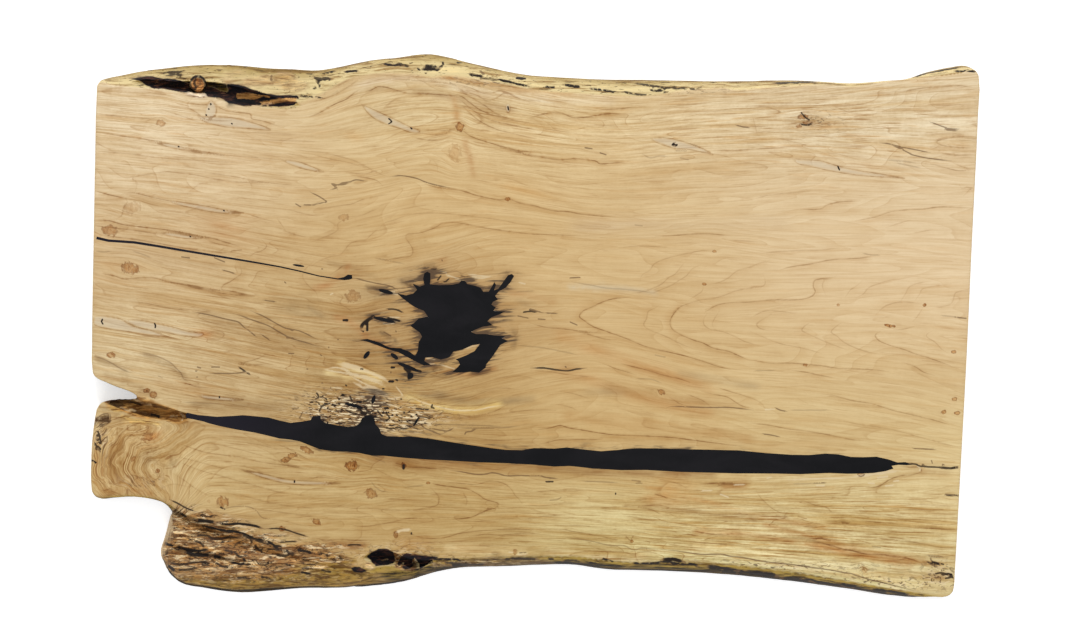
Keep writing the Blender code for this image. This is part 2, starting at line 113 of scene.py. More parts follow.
# %% [markdown]
# ## Light and floor
# The photograph's light is very even, a little stronger from the upper side. A pale sky does most of
# the work, and two big soft boxes give the live edges a bright and a dark side. They hang well to the
# sides, because a light straight above would mirror in the resin. The floor glows faintly, so that the
# ground stays white round the slab.

# %% Hang the soft boxes
SKY_STRENGTH = 0.6
SKY_COLOUR = (0.97, 0.98, 1.0)
SOFT_BOXES = [
    ("soft_box_far", (1.0, 9.0, 8.0), 7.0, 900.0),
    ("soft_box_near", (-1.5, -9.0, 7.0), 7.0, 420.0),
]

world = bpy.data.worlds.new("studio_sky")
world.use_nodes = True
world.node_tree.nodes["Background"].inputs["Color"].default_value = (*SKY_COLOUR, 1)
world.node_tree.nodes["Background"].inputs["Strength"].default_value = SKY_STRENGTH
bpy.context.scene.world = world
for name, place, size, power in SOFT_BOXES:
    box_data = bpy.data.lights.new(name, "AREA")
    box_data.shape = "SQUARE"
    box_data.size = size
    box_data.energy = power
    box = bpy.data.objects.new(name, box_data)
    box.location = place
    box.rotation_euler = (-Vector(place)).to_track_quat("-Z", "Y").to_euler()
    bpy.context.collection.objects.link(box)
bpy.context.scene.view_settings.view_transform = "Standard"
print(f"{len(SOFT_BOXES)} soft boxes under a sky of {SKY_STRENGTH}")

# %% Lay the floor
FLOOR_HALF = 30.0
FLOOR_GAP = 0.0002
FLOOR_COLOUR = (0.9, 0.9, 0.9, 1)
FLOOR_GLOW = 0.5

floor_mesh = bpy.data.meshes.new("floor")
corners = np.array([(-1, -1), (1, -1), (1, 1), (-1, 1)]) * FLOOR_HALF
floor_mesh.from_pydata(np.column_stack([corners, np.full(4, -FLOOR_GAP)]).tolist(), [], [(0, 1, 2, 3)])
floor = bpy.data.objects.new("floor", floor_mesh)
bpy.context.collection.objects.link(floor)
paper = bpy.data.materials.new("pale_floor")
paper.use_nodes = True
paper_shader = paper.node_tree.nodes["Principled BSDF"]
paper_shader.inputs["Base Color"].default_value = FLOOR_COLOUR
paper_shader.inputs["Roughness"].default_value = 0.9
paper_shader.inputs["Specular IOR Level"].default_value = 0.1
paper_shader.inputs["Emission Color"].default_value = (1, 1, 1, 1)
paper_shader.inputs["Emission Strength"].default_value = FLOOR_GLOW
floor_mesh.materials.append(paper)
print(f"floor {2 * FLOOR_HALF:.0f} m square")

# %% [markdown]
# ## The slab's skin
# The CAD slab's flat face is a handful of huge triangles, which can't carry a value at every few
# millimetres. So the skin is made in two parts. The sloping edges and hollows come from a welded copy
# of the CAD mesh, whose long edges are halved until they are short. The flat faces are cut out of that
# copy and filled again with new points, which are dense where a marking runs.

# %% Copy the slab and cut out its flat faces
LEVEL_SLACK = 2e-5
WELD_GAP = 3e-6
STRAIGHT_UP = 0.999


def welded_copy(node):
    """A bmesh of a CAD node whose loose triangles are joined: corners within a few microns are one."""
    copy = bmesh.new()
    copy.from_mesh(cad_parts[node].data)
    bmesh.ops.remove_doubles(copy, verts=copy.verts, dist=WELD_GAP)
    copy.normal_update()
    return copy


def lies_flat(face, level):
    """True where all of a face's corners are at a level and it faces straight up, or down at 0."""
    facing = face.normal.z if level > 0 else -face.normal.z
    return facing > STRAIGHT_UP and all(abs(corner.co.z - level) < LEVEL_SLACK for corner in face.verts)


shell = welded_copy("maple_slab")
flat_faces = [face for face in shell.faces if lies_flat(face, THICKNESS) or lies_flat(face, 0.0)]
bmesh.ops.delete(shell, geom=flat_faces, context="FACES")
print(f"{len(flat_faces)} flat triangles cut out, {len(shell.faces)} sloping ones kept")

# %% Halve the long edges of the sloping faces
EDGE_LIMIT = 0.0092
FINE_EDGE_LIMIT = 0.005
LEAST_SLOPE = 0.04
HALVINGS = 8
# lobe, bark pocket, notch, lower pockets and crest, by two corners each
FINE_AREAS = [((150, 500), (372, 594)), ((126, 70), (312, 112)), ((92, 394), (200, 426)),
              ((360, 544), (440, 576)), ((340, 54), (560, 96))]
fine_boxes = [np.sort(metres(area), axis=0) for area in FINE_AREAS]


def edge_limit(edge):
    """How long an edge of the skin may be: short in the hollows and on the lobe, longer elsewhere."""
    x, y = ((edge.verts[0].co + edge.verts[1].co) / 2)[:2]
    is_fine = any(low[0] < x < high[0] and low[1] < y < high[1] for low, high in fine_boxes)
    return FINE_EDGE_LIMIT if is_fine else EDGE_LIMIT


for halving in range(HALVINGS):
    bmesh.ops.triangulate(shell, faces=shell.faces[:])
    long_edges = [edge for edge in shell.edges
                  if any(abs(face.normal.z) > LEAST_SLOPE for face in edge.link_faces)
                  and edge.calc_length() > edge_limit(edge)]
    if not long_edges:
        break
    bmesh.ops.subdivide_edges(shell, edges=long_edges, cuts=1)
bmesh.ops.triangulate(shell, faces=shell.faces[:])
shell.verts.index_update()
shell.normal_update()
shell_places = np.array([corner.co for corner in shell.verts])
shell_normals = np.array([corner.normal for corner in shell.verts])
shell_triangles = np.array([[corner.index for corner in face.verts] for face in shell.faces])
open_edges = np.array([[corner.index for corner in edge.verts] for edge in shell.edges if edge.is_boundary])
open_height = shell_places[open_edges].mean(axis=1)[:, 2]
face_rim = open_edges[open_height > THICKNESS / 2]
underside_rim = open_edges[open_height < THICKNESS / 2]
shell.free()
print(f"sloping skin: {len(shell_places)} points, {len(shell_triangles)} triangles, "
      f"{len(face_rim)} rim edges above, {len(underside_rim)} below")

# %% [markdown]
# ## Traced markings
# Each marking is one row: a letter for its kind, then the points that it runs through. A learner can
# move a point and see the line move. A kind says how wide and strong a line is, and which of three
# layers it belongs to: growth lines are the brown edges of the year rings, ink is the black of fungus,
# checks and beetle holes, and cream is pale wood, save in the crotch recess, where its strokes are
# painted highlights.

# %% How the tables are read
def rows_of(table):
    """The rows of a text table, which are counted. An indented line goes on with the row above it."""
    rows = table.strip().replace("\n  ", " ").splitlines()
    print(len(rows), "rows")
    return rows


def read_numbers(text):
    """All the numbers of a text, whether commas or spaces stand between them."""
    return [float(part) for part in text.replace(",", " ").split()]


def read_points(text):
    """The numbers of a text two by two, as an array of points."""
    return np.reshape(read_numbers(text), (-1, 2))


def closed(points):
    """Points with the first one once more at the end."""
    return np.vstack([points, points[:1]])


print("tables can be read")

# %% What each kind of line looks like
# letter: (layer, half width in pixels, strength)
KINDS = {
    "s": ("growth", 1.15, 1.0), "m": ("growth", 1.05, 0.72), "f": ("growth", 1.0, 0.45),
    "o": ("growth", 2.2, 0.5), "q": ("growth", 1.6, 1.0),
    "g": ("ink", 0.9, 0.28), "k": ("ink", 0.85, 0.68), "b": ("ink", 1.1, 0.9), "t": ("ink", 1.6, 1.0),
    "w": ("ink", 2.4, 1.0), "h": ("ink", 0.8, 0.4),
    "c": ("cream", 1.1, 0.68), "v": ("cream", 2.0, 0.72),
}
LENS_OUTLINE = ("growth", 0.95, 0.8)
BEETLE_HOLE = ("ink", 1.0, 1.0)
drawn_rows = []
print(f"{len(KINDS)} kinds of line")

# %% Lines of the upper left
drawn_rows += rows_of("""
m 100,133 148,140 162,141
f 100,115 160,120
m 183,103 205,105 212,101 220,108 232,112 250,114 252,119 262,121 272,124 280,127
m 183,106 196,112 205,119 216,121 232,121
f 163,110 190,119 203,124
f 230,132 300,135
f 240,139 320,142
f 98,151 130,154 160,158 190,160 240,163
m 220,155 260,158 280,160
f 283,153 300,156 318,160
f 200,172 230,176 262,182 300,186
f 136,190 138,183 133,178 150,174 170,172 190,174 210,178 235,182 270,183
f 193,190 200,184 215,182
s 96,191 110,195 125,198 130,197
m 125,193 135,193 148,196 165,200 175,202
m 245,213 260,218 275,222
f 125,198 128,202 124,208 122,216 115,219
f 136,193 137,186 134,179
f 188,194 193,189 200,185
s 96,220 110,221 125,225 150,228 175,231 200,236 215,239 225,242 238,246
m 96,226 115,228 145,232 162,235
m 203,238 215,243 228,246
m 100,235 140,240 180,247 215,252 232,253
m 232,251 242,250
k 215,258 225,262
k 222,270 230,272 236,274
k 182,257 190,258
m 240,264 242,273 236,278 230,282 224,285 221,290
g 96,251 105,252 112,251
g 133,251 142,254 152,258
m 100,273 115,276 125,279 140,278 155,278 165,281 180,284 195,288 215,292 235,295 255,297
s 155,278 170,282 190,285 210,289 230,291 245,294 255,296
m 130,301 150,304 170,308 190,311
k 263,300 277,302
m 262,240 267,246 262,251 255,253 250,257
m 277,218 282,225 285,229
m 280,229 290,233 305,237
k 285,282 286,283
k 322,269 323,269
f 315,260 305,270 303,277 308,285 316,292 318,298
k 296,204 301,207
k 302,205 315,205 318,203
k 310,192 320,197 327,202 322,203 312,205
k 350,183 342,185 333,185 337,188 330,190
f 290,210 305,214 320,217
""")

# %% Lines below the crest
drawn_rows += rows_of("""
s 310,117 320,113 330,107 338,103 347,99 356,92 360,90
s 362,93 372,90 378,87 388,88 398,91 410,94 425,94 440,95 455,96 462,97 470,103 480,110 492,115 505,119
f 310,103 335,95 350,86 360,79
o 310,93 322,92 333,88 343,83 352,78 365,75 380,75 405,77 428,76 432,79 458,79 470,82 485,84 515,87 540,90
f 360,85 380,80 400,80 440,83 455,86
m 455,86 465,92 478,96 487,101 497,98 503,94 510,95 520,99 530,101 540,101
m 450,83 470,88 482,93 492,93 500,91 508,93 518,97
m 456,90 470,97 485,106 495,113 510,119 522,120
m 460,100 475,112 490,120 505,124 525,128 540,131
m 462,106 478,120 495,129 510,133 540,140
s 462,130 470,136 480,140 500,146 520,151 540,152
m 500,148 515,152 530,156 540,158
m 458,127 450,130 440,131 428,130 420,130
m 455,130 445,134 435,135 420,133
m 452,136 440,140 425,140 412,137
f 375,106 385,103 395,101 410,101
f 362,147 385,146
f 390,148 412,148
f 310,151 325,153 345,158 355,161 365,166 376,172 390,178
f 310,154 330,159 350,163 365,168
k 338,190 336,187 332,184 338,185 343,183 350,182 356,180 364,181 368,181
k 390,177 397,176 403,176 410,177 418,179 425,182 435,185 450,188
m 345,172 365,174 378,170
m 350,175 375,180 383,186
f 433,160 437,165 438,173
s 530,118 545,114 560,113 568,116 575,118 585,117.5 600,115 612,114 625,115
m 600,110 620,109 635,107
s 530,154 540,157 550,159 560,160 575,159 595,161 600,164 615,163 628,162
k 585,148 592,149
k 600,153 606,155
""")

# %% Lines of the upper right
drawn_rows += rows_of("""
g 642,154 650,158 660,156 668,157
g 676,151 686,151
g 680,158 688,160
g 690,144 697,146
m 711,150 730,151 745,150 760,149 775,148 790,147
k 735,125 742,127 750,128
m 750,108 765,107 772,109 780,112 775,114 762,113
f 752,115 757,135
f 773,137 785,140 800,144 812,148
g 885,160 900,161 915,163
g 895,163 910,166 920,168
m 930,164 945,168 960,171 975,169
f 950,162 962,167 975,170
m 938,152 952,155 976,155
m 976,137 960,137 950,138 940,140 936,142 940,145 950,147 965,148 976,148
m 900,92.5 912,90 925,88 940,87 960,86 978,89
f 760,104 800,103 815,100 835,99
f 830,105 842,110 850,113 865,115 880,113
k 879,143 888,144 900,147 915,150 930,153
k 888,144 900,149 908,153 912,155 925,158 940,160 951,161
k 929,122 940,126 950,129 959,129
k 944,130 957,131
f 750,200 770,195 790,193 810,191
m 800,210 820,209 827,205 840,202 860,201
m 855,221 875,217 890,212 905,210 925,209 940,207 970,208
f 885,228 900,223 910,220
f 905,235 925,231 935,229
f 760,253 790,251 820,250 840,248
g 862,253 870,255 880,255
m 780,270 790,267 810,264 830,260 845,259 860,258 875,256
f 750,268 757,264 765,262 775,263
f 763,275 765,281 763,286 752,287 745,289
m 835,277 820,279 814,281 813,287 815,291 812,296 803,299 790,300 770,300 750,302 727,303 715,306 705,312
f 830,279 824,281 822,286 824,292 826,296
f 845,297 850,290 856,286 862,281
f 855,298 863,294 868,288 880,283 895,279
f 875,315 885,306 900,302 915,303 921,304
f 930,306 940,307 950,304 953,299 955,293 965,290 975,289
f 900,301 905,294 908,288 915,284 930,281
f 915,300 920,293 922,289 935,286 950,284
f 924,305 918,315 912,322
f 750,318 765,311 785,312 795,314
m 959,185 961,188.6 966,187.6 974,188
m 963,196 967,192 970,189.6 973,194
""")

# %% Lines of the middle
drawn_rows += rows_of("""
s 425,184 435,187 450,189 462,191 475,195 487,198 500,200 508,199 520,203 535,206 545,209 555,211 570,212
  580,214 600,216 615,217
f 310,209 325,208 340,206 352,204 362,200 375,197 385,195 395,194
f 345,217 360,216 372,211 380,208
f 345,219 338,224 338,230 330,235 320,239 310,243
f 380,228 385,223 395,220 405,216 415,214 430,213 450,214 475,217 500,220 520,224 545,226
f 310,268 318,262 330,257 340,255 345,250 350,244 358,241 366,240 370,236 378,229
m 378,259 385,260 400,258 411,256 413,250 410,244 406,238 408,234 420,233 432,229 438,226 443,223 455,222.5
  470,225 485,228 505,231 530,234 560,235 580,236
m 330,275 338,270 343,266 350,265 365,266 378,265
f 337,292 343,297 340,303 347,308 352,312 352,320
k 353,277.5 366,281 380,284 390,286 400,291
g 375,258 395,262 405,264
k 442,260 442.5,261
g 420,270 432,268 440,266
g 445,273 455,271 463,274
g 515,292 535,291
g 635,225 642,226
m 655,236 668,236 680,235 695,234 710,234 730,236
f 725,240 745,241 760,242
f 618,248 640,246 660,247 672,248
f 640,281 642,275 650,270 654,264 665,259 680,255 700,251 712,250
f 684,263 680,268 675,274 668,278 660,285 645,291 630,294
f 700,265 692,269 686,276 678,281 670,286 660,290 648,295
f 703,285 702,291 695,296 688,300
f 708,285 720,282 728,278 737,271 750,267 760,263
f 760,287 745,289 735,291 725,295 715,298 700,300 690,303 680,307 673,312
k 570,278 580,277.5
k 530,309 540,312
k 545,313 558,313.5
k 538,319 545,319.5
k 570,322 577,325
g 572,282 590,285 605,288 620,289 640,291 655,293
g 515,345 530,346.4 540,347.4 551.4,349.3 561.4,351.4 570,353 578.6,355.4
m 530,323 545,327 565,329 580,331 600,333
m 575,331 590,335 605,339 615,340
b 530,368 544.3,368 555.7,369.7 567,370.7 577,369 587,368
k 565.2,366.4 566.2,367.4
m 530,370 551.4,372 567,374.3 581.4,376 594.3,376.7
f 560,391 575,394 590,399
f 555,404 570,407 580,412
""")

# %% Lines of the lower left end
# the cream strokes in the crotch recess, 120 to 184 across and 399 to 421 down, are painted highlights of
# its glossy surface
drawn_rows += rows_of("""
k 193,311.7 210,315 225.7,319 238.5,322 244,327 251,332
k 233,313.5 241,315.7 250,319 258.5,322 268.6,325.7 278.6,331.4 288.6,337 297,340 310,343.6 320,347
k 251,310.7 264,316.4 274,322 285.7,328 301,331.4 318.6,340
k 247,328.6 257,337
k 261,334 271,340.7
m 205,335 214,331 224,333 222,338 212,340
m 265.7,353 263,356.4 251,360.7 238.6,363.6 253,365 268.6,363.6
b 238.6,366.4 245.7,371.4 251.4,375
k 210,373.3 233,373.3 248.6,372
k 198,367 201,368
k 212,367 220,367
k 196,371 197,371
k 197,377 198,377
h 140,352 154,355 164,359 171.4,363 177,368.6 181.4,373 184,378.6 188.6,381.4
h 93,355.7 104,359 113,363.6 121.4,368.6 131.4,373
s 175.7,381.4 184,382.6 190,384.3 195.7,386.4 208.6,388
g 159,376 163,378
g 265,394 290,395 310,397
g 272,400 320,400
g 182,402 225,404
k 300,418 303,412
m 303,411 312,414
k 292,330.5 293,330.5
k 287,338 293,338
k 289,353.5 294,353.5
k 307,369 308,369
m 113,450 117,440 125,430 140,423 160,421
m 122,450 128,438 140,430 155,425
f 104,452 101,460 97,467 98,475 102,482 108,487
m 116,450 112,457 111,465 115,473
b 95.4,431 98.6,431.4 99.6,433.6 97,435.4 100.6,436.4 99.4,439 96.4,438
b 97.4,440 100.8,439.4 101.6,443.4 99.4,442
b 95.2,443 97,446 96.4,449
b 99,446.6 101.4,449
k 97.6,448.4 101,451.8
k 103.6,434.8 107.4,428.6
t 92,460.4 96,462.4
k 94,420.4 99,416.9 104,413.9 110.8,413.2
k 111,413.4 111.3,416.7 110.4,420.8 107,424.8
m 111,417.4 115,417.2 121,417.4
m 108,425 103.3,425.8 95,424.6
b 108,400.6 116,399.2 126,398.8 136,397.6
k 112,403.6 118,406.4 126,409
b 128,401.6 136,403.4 144,405.6
k 150,404 158,406.6 170,410
t 149,413.6 155,415.2 161,417.2
k 138,411 146,413
c 120.5,406.8 124,408.6
c 126,410 130,410.8
c 131,409 136,410.6
c 170.5,416.6 174,415.6
c 175,417.4 177,415.6
c 181,413.6 184,416.4
c 182,419.4 182.6,420
c 140,402.4 146,404.4 151,405
c 134,399.4 139,401
m 99,489 105,490 118,487
m 100,496 110,495 118,493
f 130,452 138,457 150,452 158,446
f 150,470 157,462 166,455 176,452
m 157,470 160,475 157,479 150,481 143,477 136,479 130,484
m 126,479 134,475 143,478 152,476
f 160,492 166,486 176,484 190,487
""")

# %% Lines round the river's lobes
drawn_rows += rows_of("""
t 343.7,320.3 347.7,320.3
t 367.5,321.5 367.5,330.5
b 363.2,331.4 364,331.4
t 373,316.4 374.4,316.4
c 388,317.4 401,317.4
c 384,323.6 394,323.6
k 384,332 391,336
k 396,331 396.4,331.8
k 321,355 321.8,355.6
k 338,339.4 338.6,339.8
k 329,347 329,347.8
k 322,383 323,383
b 346,385 346.8,385.6
k 331,387 331,388
b 361,369 363,369
t 391.6,367.4 394.2,367.4
k 391,372 391,373
t 389.4,381.4 393.4,381.4
b 383,388.6 384.2,388.6
b 397,379.6 397.6,380.4
b 401,399 401.8,399
b 317,393 319,397 316,399
b 326,398.4 326.8,399.4
b 319,403.6 319.8,404.4
b 327.6,404 328.6,404
b 339,403.6 339.8,404.2
t 342,395 343.6,395
b 339,399 340.2,399
b 350,396 352,400
b 363,402 368,400
b 380,405.6 381.2,405.8
t 385.6,408 388.4,408
b 319.7,410.7 322,406.4
b 346,410 355,414
t 357,406.6 361,410
b 365,407 369,412 374,410
t 371,415.4 376,417
b 378,411 382,416
w 362,413 366,414
b 387,414 390,418 386,420
b 396.6,414.6 397.6,415.4
b 404,412 404.6,412.6
b 411,415.6 411.8,416.4
b 399,420 400,420.6
b 407,420.8 408,421.2
k 421.4,416.4 424.3,414 431,415 433,416.4 430,419
b 424.6,423 425.4,423
b 416.4,408.6 428,409.3
b 383,427 391,428.4 398,427.2 404,428.6 411,427.4
c 386,429.8 395,430.2
c 399,425.2 408,425.4
k 418,422 425,428 432,431 440,434 445,433
k 430,428 440,430 447,431 452,429 454,427
k 465,434 466,432 472,431 475,429
h 430,424 470,425 500,426
h 458,428 495,428 520,426
b 432.4,404.6 432.4,405.4
b 431.4,406.8 431.6,407.4
b 433.4,407.6 434,408.2
c 325,368.7 337.5,367.5 347.5,371 357.5,376 370,380 385,386
v 337.5,363.7 347.5,364 360,367.5 367.5,371.7 382.5,377.5 388.7,382.5
c 328.7,387.5 342.5,388
v 353.7,382.5 363.7,387.5 375,392 385,396 388.7,399.5
c 360,375 372,378 384,383
c 352,377 366,384 380,389
m 336,361 348,361.6 361,365 370,369.4 385,375.6
m 330,371 345,373 358,379 372,384
m 352,385 362,390 374,394.6 386,399
c 396,386 403.7,396
c 468,274 480,275.6 492,277
c 440,271 446,272.5
c 446,275 460,279
c 457,280 470,282
c 519,282.5 525,284
c 379,293.6 390,292 397,291
c 381,317.5 400,321
c 455,351 466,348 479,344.6
c 422,357.4 437,360
c 420,361.6 437,364.6
c 440,364.4 457,369.6
c 330.6,294.4 333,293.4
w 360.6,329.4 363,324 368,320 374,316.4
t 385,318 394,319.4 402,321.6
w 405,368 409.6,373.6 409,378
t 412,369.4 421,371.4
b 438,279.6 441,276
b 446,281.6 449,278.8
k 461,276 464.6,276.8
b 430,268.4 436,269
b 386,309 396,309.6 404,313
b 524,312 530,311.4 535,312
k 518,316 528,318
c 375,400 388,406
v 338,364 352,368.4 366,371.6 380,376.6 388,382
v 345,373.8 358,375.4 371,378.4 381,382
c 325,370 342,372.4 354,376
v 363,386 377,389.6 389,396.4
c 378,393.6 390,398.4 402,396.8
c 335,387.4 342,388.6
c 470,276.6 482,278.4 491,276
c 384,319.4 393,321.6 401,320.4
c 389,293 398,294.6
c 358,412 370,408 380,412
c 366,418 378,420 390,423
c 352,408 362,406
c 408,396 425,403 440,407 455,410 475,410 490,407 503,405
m 410,394 425,401 445,404.6 465,406 485,404.4 504,400
m 410,402 430,410 455,414.6 475,415.6 495,411 508,404
f 425,372 440,377 460,376 480,374 500,370 520,368
f 420,385 440,392 460,388 480,384 500,378 520,376 540,380
f 450,400 470,397 490,390 505,388 520,390
f 440,417 470,418 500,414 530,410 556,410
f 470,438 500,440 530,438
""")

# %% Arches of the right half
drawn_rows += rows_of("""
s 630,297 612,299 600,303 592,307 583,311 579.3,316.4 584.3,320.7 592.9,326.4 604.3,330.7 618.6,335.7
  630,340 641.4,345 655.7,349.3 673,353 687,356.4 701.4,360.7 715.7,365.7 730,369.3
f 660,304 655,308 648,311.4 646.4,318.6 643.6,323.6 645,327 651.4,330.7 665.7,336.4 680,343.6 694,349
s 690,303 680,307 674.3,313 670.7,318.6 670,324.3 673,330 681.4,335 693,340 703,343 713,348 728.6,351.4
  738.6,355.7 748.6,360
f 707,313.6 703.6,318.6 703.6,324.3 710,329.3 721.4,331.4 733,335.7 744.3,341.4 758.6,345.7
f 718.6,312 714.3,318.6 712,324.3 714.3,328.6
s 621.4,363.6 638.6,368 651.4,371.4 663,375 678.6,378.6 689.3,382
m 603,363.6 615.7,368.6 627,372 636.4,375
g 635.7,378.6 651.4,379.3 661.4,383
g 655,355 665,357
m 645,388 658,391
m 669.3,397 678.6,403 687,405.7
k 667,407.4 673,406.4 694,407 713,407.4 730,407.4 753,410
m 684.3,393 694.3,397 703,400.7 708.6,405 710.7,407.4
m 701.4,391.4 714.3,394.3 727,397 734.3,401.4 741.4,405.7 753,408.6
m 715.7,387 730,391.4 744.3,395.7 754.3,399.3 761.4,403.6 765,408.6
s 538.6,429.3 551.4,427.4 560,425.4 570,428 583,430 594.3,432 610,434.3 623,435 644.3,435.7 667,437
  680,438.3 694.3,440.3 708.6,442 721.4,443.6 735.7,445.7
m 538.6,444.3 548.6,442 558.6,439.7 573,439.3 601.4,439.3
f 771.4,314.3 761.4,320 756.4,324.3 760,328.6 771,331
f 750,331.4 760,335.7 771.4,340.7 783,344.3 797,347 810,350 821.4,353.6
f 811.4,322 805.7,325 801.4,330 807,333.6 814.3,337 825.7,342 838.6,347 847,350
f 843,321.4 835.7,326.4 830.7,332 837,336.4 841.4,340.7 850,345.7 863,350.7 878.6,354.3
m 880,331.4 875.7,333.6 874.6,335.7 878.6,340.7 888.6,345 903,349.3 914.3,353.6 925.7,357 940,362 950,365.7
f 931.4,331.4 927,333.6 926.4,337 934.3,342 941.4,349.3 947,353
m 750,360 771.4,363 793,363 805.7,364.3 821.4,365.7 838.6,368.3 858.6,369 874.3,369.7 888.6,371.7
m 791.4,370 804.3,372 817,374.6 831.4,377.4
m 893,329.8 903,329.2 914,326.4
m 901.4,362 914.3,366.4 923,372 934.3,375.3
m 830,394.3 850,400 868.6,403 878.6,405.7 891.4,410 907,413.6 921.4,417 935.7,420.7 948.6,424.3
c 765,409.4 774,409
k 774.3,407.4 780,410 787,411.4
g 788.6,410 830,410
f 797,398 808,404
m 750,423 768.6,425 787,428.6 807,431 830,435 850,439.3 863,440.3
f 843,420.7 858.6,424.3 878.6,427 900,431.4 914.3,435.7 935.7,441.4 957,447
k 761.4,433.6 771.4,435 780,437
k 911.4,447 914.3,448.3 935.7,449.3
g 754,370.5 775,370.5
g 940,315.4 948,316.2 955.7,317
k 953,316.8 960,317.8 968,318.6
""")

# %% Lines of the lower left
drawn_rows += rows_of("""
m 181,444 205,452 225,455 240,457 262,462 290,466 310,470
f 212,443 230,447 250,452 270,458 290,464 307,468
f 230,440 250,443 270,447 285,452
m 275,443 290,449 300,455 310,460
f 171,472 183,479 197,489 212,497
f 180,462 200,470 222,476 250,484 280,492 310,496
f 176,456 200,462 230,470
f 225,514 250,516 280,520 310,527
h 224,509 231,507 243,506 252,507.5 258,512 262,517 271,519.5
b 221,507 225,509
f 233,492 260,500 290,506 320,508
f 240,506 280,512 320,517
m 310,537 318,538 325,540 340,539 355,540 367,540
o 322,542 340,544 358,546 375,543
b 346,545 355,544.4 363,545
m 340,548 360,549 366,548
m 312,551 318,556
m 310,558 322,557 328,553 335,551
f 368,466 380,471 392,477 405,480 420,479 428,482
s 428,482 440,485 455,487 468,489 478,494 485,499 497,502.5 498,505 495,508 487,510 480,513 474,516 465,518
  452,519
m 450,482 470,484 478,484 490,481 500,482 507,485 512,490 515,495 519,499 522,503
m 430,487 438,495 439,500 437,505 425,508 410,510
f 464,494 467,500 466,505
f 310,477 330,478 345,481
g 371,481 376,487 382,491 388,491
g 406,487 415,486 425,485
f 380,497 395,499 420,500 438,501
f 360,502 370,505 375,505
f 345,509 365,508 400,510 430,509
m 350,524 360,526 375,525 395,521 410,518 425,518.5 440,518
f 351,528 362,530 375,529.5
f 413,518 425,518
v 396,532 403,530 411,529.6
m 392,540 396,545 404,546 410,543 409,537
m 394,532 397,537 393,541
m 412,534 420,537 430,538 440,538 450,536 460,533 475,531 490,530 510,529 540,529
f 410,545 420,543 435,541.5 445,540
f 445,542 460,541 475,541 490,540
m 470,536 485,534 500,535 515,533.5 540,533
b 411.5,532.4 411.5,533.8
s 404,466 415,467 430,468 445,469
k 450,470 461,471.5 475,474 485,474 492,472.5 500,474 507,475.7 520,475.3 540,476
t 404,465 403.6,468.4
g 376,459 385,462
m 396,463 404,465
c 509,552 513,552
c 516,554.4 528,553.4
k 520,552.6 526,552
m 514.6,550.6 515.4,552.4
f 470,506 500,508 530,506
f 480,514 505,512 540,513
f 470,522 500,519 540,519
f 470,546 500,545 540,546
""")

